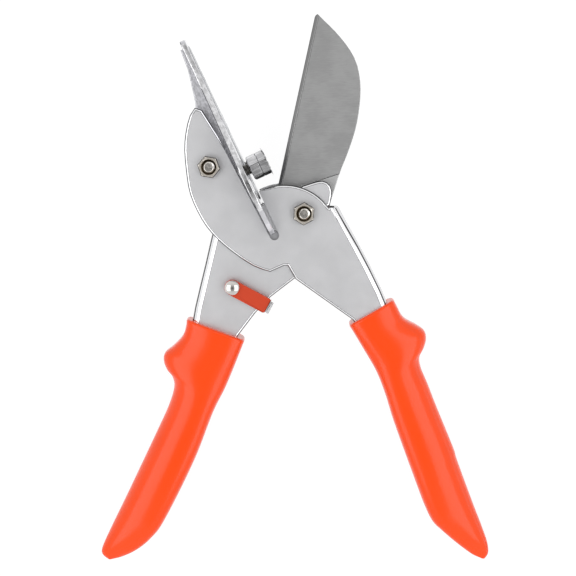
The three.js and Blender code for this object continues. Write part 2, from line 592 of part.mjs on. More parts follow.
// Return spring: one leg on the inside of each lever's web, its coil round the bush before the blade
function returnSpring() {
  const wire = SPRING_WIRE / 2;
  const coil = bushRadius + SPRING_BORE_GAP + wire;
  const low = bladeFace + RUNNING_GAP + wire;
  const high = bladeLeverInside - RUNNING_GAP - wire;
  const start = LEG_ANGLES[0] + Math.PI / 2;
  const end = LEG_ANGLES[1] - Math.PI / 2 + 2 * Math.PI;
  const webGap = SHEET + 2 * RUNNING_GAP + wire;
  const legs = [[start, LEG_ANGLES[0], beside(anvilOuter, webGap, -1), high],
    [end, LEG_ANGLES[1], beside(bladeOuter, webGap, 1), low]].map(
    ([from, heading, wall, height]) => {
      const foot = new THREE.Vector2(Math.cos(from), Math.sin(from)).multiplyScalar(coil);
      const tip = firstHit(foot, heading, wall);
      return [foot, tip].map((point) => new THREE.Vector3(point.x, point.y, height));
    });
  const turn = new THREE.Curve();
  turn.getPoint = (t, target = new THREE.Vector3()) => {
    const angle = start + (end - start) * t;
    return target.set(Math.cos(angle) * coil, Math.sin(angle) * coil, high + (low - high) * t);
  };
  const path = new THREE.CurvePath();
  path.add(new THREE.LineCurve3(legs[0][1], legs[0][0]));
  path.add(turn);
  path.add(new THREE.LineCurve3(legs[1][0], legs[1][1]));
  const gap = leastGap(path.getSpacedPoints(400), Math.PI * coil);
  console.log(`return spring: least gap to itself ${gap.toFixed(2)} mm`);
  const section = new THREE.Shape(arc(pivot, wire, 0, 2 * Math.PI * 7 / 8, 7));
  return new THREE.ExtrudeGeometry(section, { steps: 72, bevelEnabled: false, extrudePath: path });
}

// The least gap between two stretches of the wire that lie at least a given length of wire apart
function leastGap(points, apart) {
  const step = points[1].distanceTo(points[0]);
  let least = Infinity;
  points.forEach((point, i) => {
    for (let k = i + Math.ceil(apart / step); k < points.length; k += 1) {
      least = Math.min(least, point.distanceTo(points[k]));
    }
  });
  return least - SPRING_WIRE;
}

// Where a ray in plan first meets a path
function firstHit(from, heading, path) {
  const run = new THREE.Vector2(Math.cos(heading), Math.sin(heading));
  let nearest = Infinity;
  for (let i = 0; i + 1 < path.length; i += 1) {
    const edge = path[i + 1].clone().sub(path[i]);
    const gap = path[i].clone().sub(from);
    const across = run.cross(edge);
    const along = gap.cross(edge) / across;
    const share = gap.cross(run) / across;
    if (share >= 0 && share <= 1 && along > 0) nearest = Math.min(nearest, along);
  }
  return run.multiplyScalar(nearest).add(from);
}

piece(tool, 'return_spring', returnSpring(), steel('#8a8d92', 0.35));

// Mitre table, drawn in the jaw's frame: -X is the level away from the blade and Y runs along the table
const tableHeight = (geometry) => geometry.applyMatrix4(new THREE.Matrix4().makeBasis(
  new THREE.Vector3(0, 1, 0), new THREE.Vector3(0, 0, 1), new THREE.Vector3(1, 0, 0)));
const slab = (outline, top, bottom) => tableHeight(prism(outline, -bottom, -top));
const square = (geometry, along, across) => geometry.rotateY(-Math.PI / 2).translate(0, along, across);

function tablePlan() {
  const edge = smooth(TABLE_PLAN_SHARES.map(([along, width]) => new THREE.Vector2(
    along * TABLE_REACH, width * TABLE_HALF_WIDTH)), 20);
  const last = edge.at(-1);
  const corner = new THREE.Vector2(last.x, last.y - TIP_RADIUS);
  const half = [...edge, ...arc(corner, TIP_RADIUS, Math.PI / 2, 0, 5).slice(1)];
  return [...half, ...half.map((point) => new THREE.Vector2(point.x, -point.y)).reverse()];
}

// The room that the blade lever needs between the cheeks, up to the edge of its neck
function neckRoom() {
  const size = ANVIL_LEVER_LENGTH;
  return block(-size, BLADE_HUB_RADIUS + STOP_GAP, -size, size, -anvilLeverInside, anvilLeverInside)
    .rotateZ(neckAngle - TABLE_LEAN);
}

const stripEnds = [STRIP_START + STRIP_WIDTH / 2, STRIP_START + STRIP_LENGTH - STRIP_WIDTH / 2]
  .map((along) => new THREE.Vector2(along, 0));
const stripPlan = (gap) => strap(stripEnds[0], STRIP_WIDTH / 2 + gap, stripEnds[1], STRIP_WIDTH / 2 + gap);
const screwPlaces = SCREW_PLACE_SHARES.map((share) => STRIP_START + share * STRIP_LENGTH);
const screwTop = anvilLevel + SCREW_HEAD_SINK;
const screwEnd = screwTop + SCREW_LENGTH;

function screwProfile(gap, top) {
  const shank = SCREW_DIAMETER / 2 + gap;
  const head = SCREW_HEAD_DIAMETER / 2 + gap;
  return [[0, top], [head, top], [head, screwTop], [shank, screwTop + head - shank], [shank, screwEnd + gap],
    [0, screwEnd + gap]];
}

const stopPlaces = [['front', STOP_SPREAD, degrees(20)], ['back', -STOP_SPREAD, degrees(30)]];

function mitreTable() {
  const rib = RIB_SHARES.map(([along, drop]) => new THREE.Vector2(
    -tableUnderside - (drop > 0 ? drop * RIB_DROP : -PLATE_THICKNESS / 2), along * TABLE_REACH));
  const lug = rod(LUG_RADIUS, -anvilLeverInside, anvilLeverInside).translate(-boltLevel, BOLT_REACH, 0);
  const bosses = stopPlaces.map(([, across]) => square(rod(STOP_BOSS_RADIUS, tableUnderside - PLATE_THICKNESS / 2,
    tableUnderside + STOP_BOSS_DEPTH), STOP_REACH, across));
  const body = join(slab(tablePlan(), tableLevel, tableUnderside), prism(rib, -RIB_THICKNESS / 2,
    RIB_THICKNESS / 2), lug, ...bosses);
  return cut(
    body,
    neckRoom(),
    slab(stripPlan(SEAT_GAP), tableLevel - OVERRUN, tableLevel + GROOVE_DEPTH),
    rod(boltRadius + FIT_GAP, -anvilLeverFace, anvilLeverFace).translate(-boltLevel, BOLT_REACH, 0),
    ...screwPlaces.map((along) => square(rod(SCREW_DIAMETER / 2 + FIT_GAP, tableLevel, screwEnd + FIT_GAP, 16),
      along, 0)),
    ...stopPlaces.map(([, across]) => square(rod(boltRadius + FIT_GAP, tableLevel - OVERRUN,
      tableUnderside + STOP_BOSS_DEPTH + OVERRUN), STOP_REACH, across)),
  );
}

piece(jaw, 'mitre_table', mitreTable(), steel('#d2d2d4', 0.16));
piece(jaw, 'anvil_strip', cut(slab(stripPlan(0), anvilLevel, tableLevel + GROOVE_DEPTH - SEAT_GAP),
  ...screwPlaces.map((along) => square(turned(screwProfile(FIT_GAP, anvilLevel - OVERRUN), 20), along, 0))),
steel('#c9cacc', 0.5));
screwPlaces.forEach((along, i) => piece(jaw, `strip_screw_${i + 1}`, square(turned(screwProfile(0, screwTop), 20),
  along, 0), steel('#b5b5b8', 0.35)));
stopPlaces.forEach(([place, across, turn], i) => {
  const under = tableLevel - STOP_HEIGHTS[i] - NUT_HEIGHT;
  const parts = [[`stop_bolt_${place}`, bolt(under, STOP_BOLT_LENGTH)], [`stop_nut_${place}`, nut(under)]];
  for (const [name, geometry] of parts) {
    piece(jaw, name, square(geometry.rotateZ(turn), STOP_REACH, across), steel('#d0d0d2', 0.2));
  }
});

// Latch: a steel strip in a red sleeve, on a shouldered rivet that holds it clear of the other lever
const latch = new THREE.Group();
latch.position.set(latchPivot.x, latchPivot.y, 0);
latch.rotation.z = LATCH_LEAN;
tool.add(latch);
const sleeveUnder = anvilLeverFace + RUNNING_GAP;
const latchUnder = sleeveUnder + SLEEVE_WALL;
const latchTop = latchUnder + LATCH_SHEET;
const sleeveTop = latchTop + SLEEVE_WALL;

// A strip of one width, round at the rivet and square at its far end
const strip = (half, length) => [...arc(pivot, half, Math.PI / 2, 1.5 * Math.PI, 12),
  new THREE.Vector2(length, -half), new THREE.Vector2(length, half)];

function latchPlate() {
  const half = LATCH_WIDTH / 2;
  return cut(join(prism(strip(half, LATCH_LENGTH), latchUnder, latchTop),
    block(LATCH_LENGTH - LATCH_SHEET, LATCH_LENGTH, -half, half, latchUnder, latchTop + LATCH_LIP)),
  rod(LATCH_RIVET_DIAMETER / 2 + FIT_GAP, latchUnder - OVERRUN, latchTop + OVERRUN));
}

function latchSleeve() {
  const room = LATCH_WIDTH / 2 + FIT_GAP;
  return cut(prism(strip(room + SLEEVE_WALL, SLEEVE_END), sleeveUnder, sleeveTop),
    prism(strip(room, SLEEVE_END + OVERRUN), latchUnder, latchTop),
    rod(LATCH_SHOULDER_DIAMETER / 2 + FIT_GAP, sleeveUnder - OVERRUN, latchUnder + LATCH_SHEET / 2),
    rod(LATCH_RIVET_DIAMETER / 2 + FIT_GAP, latchUnder, sleeveTop + OVERRUN));
}

function latchRivet() {
  const neck = LATCH_RIVET_DIAMETER / 2;
  const shoulderRadius = LATCH_SHOULDER_DIAMETER / 2;
  const head = LATCH_HEAD_DIAMETER / 2;
  const seat = sleeveTop + FIT_GAP;
  const dome = arc(pivot, 1, 0, Math.PI / 2, 5).map(({ x, y }) => [x * head, seat + y * LATCH_HEAD_HEIGHT]);
  return turned([[0, bladeLeverInside - LATCH_SHEET], [shoulderRadius, bladeLeverInside - LATCH_SHEET],
    [shoulderRadius, bladeLeverInside], [neck, bladeLeverInside], [neck, bladeLeverFace],
    [shoulderRadius, bladeLeverFace], [shoulderRadius, latchUnder - FIT_GAP], [neck, latchUnder - FIT_GAP],
    [neck, seat], ...dome]);
}

piece(tool, 'latch_rivet', latchRivet(), steel('#c8c4c0', 0.15)).position.set(latchPivot.x, latchPivot.y, 0);
piece(latch, 'latch_plate', latchPlate(), steel('#c4c4c6', 0.3));
piece(latch, 'latch_sleeve', latchSleeve(), moulded('#cf3f2c', 0.4));

// The origin is under the middle of the tool, on the plane through its lowest point
const bounds = new THREE.Box3().setFromObject(tool, true);
const middle = bounds.getCenter(new THREE.Vector3());
tool.position.set(-middle.x, -middle.y, -bounds.min.z);

export default shears;
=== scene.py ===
# %% [markdown]
# Mitre shears, dressed in Blender.
# The shears are a hand tool that cuts trim and moulding at a chosen angle. A curved blade closes on
# a soft strip that lies in a cast mitre table. Two levers folded out of sheet steel carry the blade
# and the table, and both end in glossy orange grips. The measured solids come in as a fixed frame,
# and this script gives them their edges, small forms, finishes and light. Lengths are in metres, as
# Blender has them, so a number in millimetres is multiplied by MM where it is used.

# %% Load the measured solids
import json
import math

import bmesh
import bpy
from mathutils import Matrix, Vector


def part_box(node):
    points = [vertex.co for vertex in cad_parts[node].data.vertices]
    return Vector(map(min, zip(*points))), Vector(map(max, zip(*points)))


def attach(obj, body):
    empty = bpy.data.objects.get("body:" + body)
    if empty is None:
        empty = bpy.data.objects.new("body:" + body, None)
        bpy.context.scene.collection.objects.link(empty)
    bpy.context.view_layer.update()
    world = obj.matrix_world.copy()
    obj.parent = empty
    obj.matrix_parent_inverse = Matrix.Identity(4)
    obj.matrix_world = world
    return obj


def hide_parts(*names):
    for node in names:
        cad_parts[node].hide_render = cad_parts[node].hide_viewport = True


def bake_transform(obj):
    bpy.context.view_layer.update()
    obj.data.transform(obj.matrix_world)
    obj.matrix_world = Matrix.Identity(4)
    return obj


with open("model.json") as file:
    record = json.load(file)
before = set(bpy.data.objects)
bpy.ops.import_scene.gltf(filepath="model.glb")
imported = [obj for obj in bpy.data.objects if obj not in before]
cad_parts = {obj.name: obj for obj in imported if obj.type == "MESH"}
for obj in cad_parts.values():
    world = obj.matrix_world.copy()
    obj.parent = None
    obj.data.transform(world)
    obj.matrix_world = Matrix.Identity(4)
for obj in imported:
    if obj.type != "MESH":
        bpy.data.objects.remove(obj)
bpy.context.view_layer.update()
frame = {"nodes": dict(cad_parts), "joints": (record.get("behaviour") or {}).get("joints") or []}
MM = 0.001


def middle(node):
    """The middle of the box round a node."""
    low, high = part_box(node)
    return (low + high) / 2


PIVOT = middle("pivot_bush")
UP = Vector((0, 0, 1))
print("pivot, mm:", [round(c / MM, 2) for c in PIVOT])

# %% [markdown]
# How the shears lie. They were photographed from straight above, lying on a white table top. The
# cast mitre table sticks out below the levers, so the tool rests on the table's back edge and on
# the two grips, with its jaws a little raised. The tool itself could be turned to lie like that,
# but the measured solids stay where they are, so the floor and the camera lean instead. Every piece
# then overlaps its neighbour as it does in the picture.
#
# The floor also has to stay clear of the tool when it moves. The hinge's axis isn't square to the
# leaning floor, so a grip sinks a little when the handles close. The lowest point is therefore
# looked for in the open and in the closed tool, and the floor is laid just below it.

# %% The lean of the tool on its table top
REST_LEAN = math.radians(6.4)
CLOSING_SWING = math.radians(37.8)
FLOOR_EASE = 0.4
FLOOR_NORMAL = Vector((0, math.sin(REST_LEAN), math.cos(REST_LEAN)))
PICTURE_UP = Vector((0, math.cos(REST_LEAN), -math.sin(REST_LEAN)))
FLOOR_AXES = Matrix((Vector((1, 0, 0)), PICTURE_UP, FLOOR_NORMAL)).transposed().to_4x4()


def lowest(*names, swing=0.0):
    """The least height of some nodes above the pivot, along the floor's normal."""
    turn = Matrix.Rotation(swing, 3, "Z")
    return min((turn @ (v.co - PIVOT)).dot(FLOOR_NORMAL) for name in names
               for v in frame["nodes"][name].data.vertices)


table_foot = lowest("mitre_table", "anvil_lever", "blade_lever", "pivot_bolt", "table_bolt")
grip_foot = lowest("anvil_grip", "blade_grip")
closed_foot = lowest("blade_grip", "blade", swing=CLOSING_SWING)
FLOOR_DROP = min(table_foot, grip_foot, closed_foot) - FLOOR_EASE * MM
print("lowest points below the pivot, mm: table", round(table_foot / MM, 2),
      "grips", round(grip_foot / MM, 2), "closed", round(closed_foot / MM, 2))

# %% [markdown]
# The camera. A product picture is taken with a long lens from well away, which keeps the levers
# nearly parallel. The lens could be guessed and tried out, but its length follows from the height
# of the picture at one metre, so it is worked out here. The camera aims beside the pivot, because
# the tool's middle and not its hinge is in the middle of the picture.

# %% Camera
CAMERA_DISTANCE = 1.0
PICTURE_HEIGHT = 0.2862
SENSOR = 36.0
AIM_RIGHT, AIM_ALONG, AIM_DEPTH = -7.8, -36.3, 13.7
AIM = (PIVOT + Vector((AIM_RIGHT * MM, 0, 0))
       + PICTURE_UP * (AIM_ALONG * MM - AIM_DEPTH * MM * math.sin(REST_LEAN)))

camera_data = bpy.data.cameras.new("camera")
camera_data.sensor_width = SENSOR
camera_data.lens = SENSOR * CAMERA_DISTANCE / PICTURE_HEIGHT
camera_data.clip_start, camera_data.clip_end = 0.05, 20
camera = bpy.data.objects.new("camera", camera_data)
bpy.context.scene.collection.objects.link(camera)
camera.matrix_world = Matrix.Translation(AIM + FLOOR_NORMAL * CAMERA_DISTANCE) @ FLOOR_AXES
bpy.context.scene.camera = camera
print("lens, mm:", round(camera_data.lens, 1))

# %% [markdown]
# Small helpers for materials. Colours are written as the hex values that a paint program shows, and
# one function turns them to the linear values that the shaders need. Another adds a node with its
# settings and its links, so that a recipe reads as a short list. The same nodes could be placed by
# hand in the Shader Editor, but a list can be read, compared and used again.


# %% Colours and nodes
def linear(colour):
    """A hex colour as linear red, green, blue and alpha."""
    parts = [int(colour[i:i + 2], 16) / 255 for i in (1, 3, 5)]
    return tuple(c / 12.92 if c <= 0.04045 else ((c + 0.055) / 1.055) ** 2.4
                 for c in parts) + (1.0,)


def add(tree, kind, settings=None, inputs=None):
    """A new node; an input takes a plain value, or another node's output as a link."""
    made = tree.nodes.new("ShaderNode" + kind)
    for key, value in (settings or {}).items():
        setattr(made, key, value)
    for key, value in (inputs or {}).items():
        if isinstance(value, bpy.types.NodeSocket):
            tree.links.new(value, made.inputs[key])
        else:
            made.inputs[key].default_value = value
    return made


def finish_tree(name):
    """A bare material and its tree."""
    material = bpy.data.materials.new(name)
    material.use_nodes = True
    material.node_tree.nodes.clear()
    return material, material.node_tree


def fill_ramp(ramp, stops):
    """Fills a colour ramp with greys, from pairs of a place and a level."""
    for _ in stops[2:]:
        ramp.elements.new(0.5)
    for element, (place, level) in zip(ramp.elements, stops):
        element.position, element.color = place, (level, level, level, 1)


print("mid grey in linear light:", round(linear("#808080")[0], 3))

# %% [markdown]
# Light. A product picture like this one is made in a white tent, with a long soft box on each side.
# Flat steel faces mirror the darker top of the tent round the camera, and a thin dark ring where
# the cloth is cut away for the lens. Bends and rounded edges mirror the bright sides. That is what
# draws a dark line and a white band along every fold. A modelled tent could do the same, but it
# would stand in the way of every other view, so the world itself is painted in those zones.
#
# Each zone is an angle in degrees from the direction that a flat cheek mirrors into the camera, and
# how bright the tent is there. Only gloss sees the zones. The eye sees plain white, and the soft
# light that falls on things is even.

# %% World
CHEEK_MIRROR = 2 * UP.dot(FLOOR_NORMAL) * UP - FLOOR_NORMAL
TENT_ZONES = ((0, 0.5), (2, 0.5), (3.5, 0.06), (7, 0.06), (9, 0.42), (18, 0.42), (24, 0.7),
              (40, 0.85), (180, 0.9))
SOFT_LIGHT = 0.72
WHITE = (1, 1, 1, 1)


def seen_by_eye_or_gloss(tree):
    """The gloss rays, and one for camera, glossy and transmitted rays but zero for soft light."""
    rays = add(tree, "LightPath")
    seen = add(tree, "Math", {"operation": "MAXIMUM"},
               {0: rays.outputs["Is Camera Ray"], 1: rays.outputs["Is Glossy Ray"]})
    either = add(tree, "Math", {"operation": "MAXIMUM"},
                 {0: seen.outputs[0], 1: rays.outputs["Is Transmission Ray"]})
    return rays.outputs["Is Glossy Ray"], either.outputs[0]


world = bpy.data.worlds.new("white_tent")
bpy.context.scene.world = world
world.use_nodes = True
world.node_tree.nodes.clear()
tree = world.node_tree
gloss, seen = seen_by_eye_or_gloss(tree)
looking = add(tree, "TexCoord")
cosine = add(tree, "VectorMath", {"operation": "DOT_PRODUCT"},
             {0: looking.outputs["Generated"], 1: CHEEK_MIRROR})
angle = add(tree, "Math", {"operation": "ARCCOSINE"}, {0: cosine.outputs["Value"]})
share = add(tree, "Math", {"operation": "DIVIDE"}, {0: angle.outputs[0], 1: math.pi})
zones = add(tree, "ValToRGB", None, {"Fac": share.outputs[0]})
fill_ramp(zones.color_ramp, [(degrees / 180, level) for degrees, level in TENT_ZONES])
tent = add(tree, "Background", None, {"Color": zones.outputs["Color"], "Strength": 1.0})
soft = add(tree, "Background", None, {"Color": WHITE, "Strength": SOFT_LIGHT})
white = add(tree, "Background", None, {"Color": WHITE, "Strength": 1.0})
mirrored = add(tree, "MixShader", None, {0: gloss, 1: white.outputs[0], 2: tent.outputs[0]})
all_light = add(tree, "MixShader", None, {0: seen, 1: soft.outputs[0], 2: mirrored.outputs[0]})
add(tree, "OutputWorld", None, {"Surface": all_light.outputs[0]})
print("zones of the tent:", len(zones.color_ramp.elements))

# %% [markdown]
# The two soft boxes are area lamps, as long as an arm, on either side of the camera. Point lamps
# would be quicker to place, but they leave hard spots on steel, and a soft box leaves a band.

# %% Soft boxes
BOX_DISTANCE, BOX_WIDTH, BOX_LENGTH = 1.2, 0.94, 1.1
BOX_FROM_TOP = math.radians(37)
BOX_BRIGHTNESS = 1.25


def soft_box(name, side):
    """A long soft lamp on one side of the tent, facing the tool."""
    data = bpy.data.lights.new(name, "AREA")
    data.shape, data.size, data.size_y = "RECTANGLE", BOX_WIDTH, BOX_LENGTH
    data.energy = math.pi * BOX_WIDTH * BOX_LENGTH * BOX_BRIGHTNESS
    lamp = bpy.data.objects.new(name, data)
    bpy.context.scene.collection.objects.link(lamp)
    away = Vector((side, 0, 0)) * math.sin(BOX_FROM_TOP) + CHEEK_MIRROR * math.cos(BOX_FROM_TOP)
    along = CHEEK_MIRROR.cross(Vector((1, 0, 0))).normalized()
    lamp.matrix_world = (Matrix.Translation(AIM + away * BOX_DISTANCE)
                         @ Matrix((along.cross(away), along, away)).transposed().to_4x4())
    print(name, "watts:", round(data.energy, 2))


soft_box("soft_box_left", -1)
soft_box("soft_box_right", 1)

# %% [markdown]
# The floor is white paper. More light could make it white, but it would bleach the tool as well, so
# the paper glows for the eye and for gloss only. A dim white under the glow still takes the tool's
# soft shadow.

# %% Floor
FLOOR_HALF = 3.0
PAPER_TONE, SHADOW_TONE, PAPER_GLOW = 0.8, 0.14, 0.92

floor_mesh = bpy.data.meshes.new("floor")
bm = bmesh.new()
bmesh.ops.create_grid(bm, x_segments=1, y_segments=1, size=FLOOR_HALF)
bmesh.ops.transform(bm, verts=bm.verts,
                    matrix=Matrix.Translation(PIVOT + FLOOR_NORMAL * FLOOR_DROP) @ FLOOR_AXES)
bm.to_mesh(floor_mesh)
bm.free()
floor = bpy.data.objects.new("floor", floor_mesh)
bpy.context.scene.collection.objects.link(floor)
material, tree = finish_tree("white paper")
_, seen = seen_by_eye_or_gloss(tree)
paper = add(tree, "BsdfDiffuse", None, {"Color": (PAPER_TONE, PAPER_TONE, PAPER_TONE, 1)})
dimmed = add(tree, "BsdfDiffuse", None, {"Color": (SHADOW_TONE, SHADOW_TONE, SHADOW_TONE, 1)})
glow = add(tree, "Emission", None, {"Color": WHITE, "Strength": PAPER_GLOW})
shown = add(tree, "AddShader", None, {0: glow.outputs[0], 1: dimmed.outputs[0]})
both = add(tree, "MixShader", None, {0: seen, 1: paper.outputs[0], 2: shown.outputs[0]})
add(tree, "OutputMaterial", None, {"Surface": both.outputs[0]})
floor_mesh.materials.append(material)
print("floor below the pivot, mm:", round(FLOOR_DROP / MM, 2))

# %% [markdown]
# Finishes for metal. Plated and ground metals share a recipe: a base colour with faint clouds, a
# fine grain, and a roughness that is satin on flat faces and bright on bends and edges, where
# tumbling polishes the steel most. How far a surface leans from the flat also sets its colour, as
# painted light: a bend or rounded edge gets a painted highlight that is nearly white, with a thin
# painted dark line on either side of it for the dark ring of the tent that it mirrors, and walls
# are painted in shade. Marks like these are often painted by hand or found from the mesh's
# curvature. The lean is simpler here, because all the sheet lies level. The grain of the real
# metal is finer than a pixel, so it is drawn a little coarser to show at all.
#
# A tone is a pair: the cosine of the surface's lean from the level, so 1 is a flat face and 0 is a
# wall, and the share of the base colour that is kept there.

# %% Painted light and shade by lean
EVEN = ((0.0, 1.0), (1.0, 1.0))
# Painted highlight on a rounded edge, a painted dark line on each side of it, and walls painted in
# shade
ROUNDED_EDGE_PAINTED_LIGHT = ((0.0, 0.35), (0.1, 0.2), (0.2, 0.04), (0.73, 0.04), (0.79, 1.0), (0.972, 1.0),
                (0.982, 0.08), (0.999, 0.1), (0.9998, 0.77))
# Painted highlight on the inner lever's fold, painted dark lines beside it, and the web painted in
# shade
INNER_FOLD_PAINTED_LIGHT = ((0.0, 0.5), (0.05, 0.12), (0.58, 0.05), (0.66, 1.0), (0.9903, 1.0), (0.993, 0.25),
              (0.9993, 0.25), (0.9998, 0.8))
# Painted highlight on the outer lever's fold, with a broad painted black line for the tent's dark
# seam
OUTER_FOLD_PAINTED_LIGHT = ((0.0, 0.7), (0.56, 0.8), (0.62, 0.3), (0.66, 0.02), (0.75, 0.02), (0.8, 1.0),
              (0.9920, 1.0), (0.9945, 0.25), (0.9995, 0.25), (0.9998, 0.78))
# A nut's walls and rounded rims painted in shade, its top face left bright
HEXAGON_PAINTED_SHADE = ((0.0, 0.25), (0.3, 0.1), (0.7, 0.08), (0.8, 0.75), (0.9, 0.8), (0.96, 1.0),
           (0.985, 1.0), (0.998, 0.95))
# Faces of a bolt end that stand upright painted in shade, its chamfer and end left bright
BOLT_END_PAINTED_SHADE = ((0.0, 0.3), (0.4, 0.3), (0.6, 1.0), (0.96, 1.0), (0.998, 1.0))
# Painted reflections on the stop screws' flats: light and dark stripes by lean
STOP_FACET_PAINTED_REFLECTIONS = ((0.0, 0.4), (0.3, 0.25), (0.37, 0.25), (0.45, 0.9), (0.68, 0.9), (0.74, 0.06),
              (0.93, 0.06), (0.96, 0.9), (1.0, 1.0))
print("tones on a rounded edge:", len(ROUNDED_EDGE_PAINTED_LIGHT), "and on the outer fold:", len(OUTER_FOLD_PAINTED_LIGHT))

# %% Metal recipe
FLAT_FROM, FLAT_TO = 0.97, 0.998
ROUGHNESS_SPREAD = (0.93, 1.07)


def metal(name, colour, rough, grain, depth, tones=EVEN, stretch=(1, 1, 1), turn=0.0, cloud=12.0,
          streaks=0.35, mottle=0.93):
    """A metal, with how rough it is on flat faces and on edges.

    Grain and cloud are sizes and depth is a height, in millimetres. The grain can be stretched
    along an axis, and turned by an angle in degrees. Streaks is how strongly it shows in the
    colour, and mottle is how much of the colour is left in its dark parts. The tones paint light
    and shade into the colour, by how far each face leans.
    """
    material, tree = finish_tree(name)
    spot = add(tree, "TexCoord")
    laid = add(tree, "Mapping", {"vector_type": "TEXTURE"},
               {"Vector": spot.outputs["Object"], "Location": PIVOT,
                "Rotation": (0, 0, math.radians(turn)), "Scale": [s * MM for s in stretch]})
    grains = add(tree, "TexNoise", None,
                 {"Vector": laid.outputs[0], "Scale": 1 / grain, "Detail": 3.0})
    clouds = add(tree, "TexNoise", None,
                 {"Vector": spot.outputs["Object"], "Scale": 1 / (cloud * MM), "Detail": 2.0})
    facing = add(tree, "SeparateXYZ", None, {0: spot.outputs["Normal"]})
    upright = add(tree, "Math", {"operation": "ABSOLUTE"}, {0: facing.outputs["Z"]})
    flat = add(tree, "MapRange", None,
               {"Value": upright.outputs[0], "From Min": FLAT_FROM, "From Max": FLAT_TO,
                "To Min": rough[1], "To Max": rough[0]})
    uneven = add(tree, "MapRange", None,
                 {"Value": grains.outputs["Fac"], "From Min": 0.3, "From Max": 0.7,
                  "To Min": ROUGHNESS_SPREAD[0], "To Max": ROUGHNESS_SPREAD[1]})
    blur = add(tree, "Math", {"operation": "MULTIPLY"}, {0: flat.outputs[0], 1: uneven.outputs[0]})
    light = linear(colour)
    dark = [c * mottle for c in light[:3]] + [1.0]
    tone = add(tree, "MapRange", None,
               {"Value": clouds.outputs["Fac"], "From Min": 0.35, "From Max": 0.65})
    streak = add(tree, "MapRange", None,
                 {"Value": grains.outputs["Fac"], "From Min": 0.25, "From Max": 0.75,
                  "To Min": -streaks, "To Max": streaks})
    shade = add(tree, "Math", {"operation": "ADD", "use_clamp": True},
                {0: tone.outputs[0], 1: streak.outputs[0]})
    tint = add(tree, "Mix", {"data_type": "RGBA"}, {0: shade.outputs[0], 6: dark, 7: light})
    # Painted light and shade: the colour is scaled by a ramp on how far the face leans
    leaning = add(tree, "ValToRGB", None, {"Fac": upright.outputs[0]})
    fill_ramp(leaning.color_ramp, tones)
    tint_with_painted_light = add(tree, "Mix", {"data_type": "RGBA", "blend_type": "MULTIPLY"},
                {0: 1.0, 6: tint.outputs[2], 7: leaning.outputs["Color"]})
    bump = add(tree, "Bump", None,
               {"Height": grains.outputs["Fac"], "Distance": depth * MM, "Strength": 1.0})
    shader = add(tree, "BsdfPrincipled", None,
                 {"Base Color": tint_with_painted_light.outputs[2], "Metallic": 1.0, "Roughness": blur.outputs[0],
                  "Normal": bump.outputs[0]})
    add(tree, "OutputMaterial", None, {"Surface": shader.outputs[0]})
    return material


# Satin nickel plate on rolled sheet: soft grey faces that blur what they mirror, with painted
# highlights on its rounded edges, painted dark lines beside them and walls painted in shade
satin_nickel = metal("satin nickel plate", "#fbfbfd", rough=(0.4, 0.14), grain=0.35, depth=0.002,
                     tones=ROUNDED_EDGE_PAINTED_LIGHT)
# The same plate where the sheet is folded: a painted highlight on the bend, painted dark lines
# beside it, and the web painted in shade
folded_nickel = metal("nickel plate with painted light on folds", "#fbfbfd", rough=(0.4, 0.12), grain=0.35,
                      depth=0.002, tones=INNER_FOLD_PAINTED_LIGHT)
# On the outer lever's fold a broad painted black line stands for the tent's dark seam that it
# mirrors, beside a painted highlight on the bend
outer_folded_nickel = metal("nickel plate with painted light on the outer fold", "#fbfbfd",
                            rough=(0.4, 0.12), grain=0.35, depth=0.002, tones=OUTER_FOLD_PAINTED_LIGHT)
print("plate on the levers:", satin_nickel.name, "and", folded_nickel.name)

# %% [markdown]
# The blade is plain carbon steel in three states. Its faces are ground across on a wheel, which
# leaves streaks in one direction, so the grain is stretched and turned to run that way. Its root is
# as it came from the rolls, and its bevel is honed. One steel with a painted mask would do, but
# three plain finishes are easier to match to the picture one by one.

# %% Steels of the blade
BLADE_TURN, GRIND_TURN = 12.3, 14
# Ground face: a grey that is streaked along one direction and hardly shines, with painted light on
# its rounded edges
ground_steel = metal("wheel ground carbon steel", "#bdbdbd", rough=(0.46, 0.3), grain=0.22,
                     depth=0.004, tones=ROUNDED_EDGE_PAINTED_LIGHT, stretch=(16, 1, 1),
                     turn=-BLADE_TURN + GRIND_TURN, streaks=0.8, mottle=0.86)
# Unground root: the smooth rolled skin, a little lighter than the ground face, with painted light
# on its rounded edges
rolled_steel = metal("cold rolled carbon steel", "#dadada", rough=(0.42, 0.25), grain=0.5,
                     depth=0.001, tones=ROUNDED_EDGE_PAINTED_LIGHT)
# Honed bevel: finer than the face, with its colour darkened as a painted reflection of the side of
# the tent
honed_steel = metal("honed cutting bevel", "#767676", rough=(0.4, 0.4), grain=0.25, depth=0.001,
                    stretch=(1, 12, 1), turn=-BLADE_TURN)
print("direction of the grinding, degrees:", round(GRIND_TURN - BLADE_TURN, 1))

# %% [markdown]
# The mitre table is die-cast zinc under bright chrome. Chrome is only a thin skin that follows what
# lies under it, so its look is that of the casting: smooth and a little wavy where the die was
# polished, and glittering with pits where a rim was filed. One chrome with a painted mask could
# show this too. Four finishes are plainer to match, and each face gets its own. The strip beside
# it is soft aluminium, drawn along its length.

# %% Chrome and aluminium of the table
TABLE_TURN = 25.1
ACROSS_TABLE = 90 + TABLE_TURN
# Broad faces: a mirror with the faint waviness of the casting under it
chrome_casting = metal("chrome plate on die-cast zinc", "#dedee2", rough=(0.17, 0.1), grain=2.2,
                       depth=0.012, cloud=8.0, mottle=0.85)
# Filed rims: the plate follows every pit, so they glitter
pitted_chrome = metal("chrome plate on a filed rim", "#f3f3f5", rough=(0.14, 0.1), grain=1.1,
                      depth=0.025, stretch=(2.5, 1, 1), turn=ACROSS_TABLE, cloud=2.0,
                      streaks=1.0, mottle=0.7)
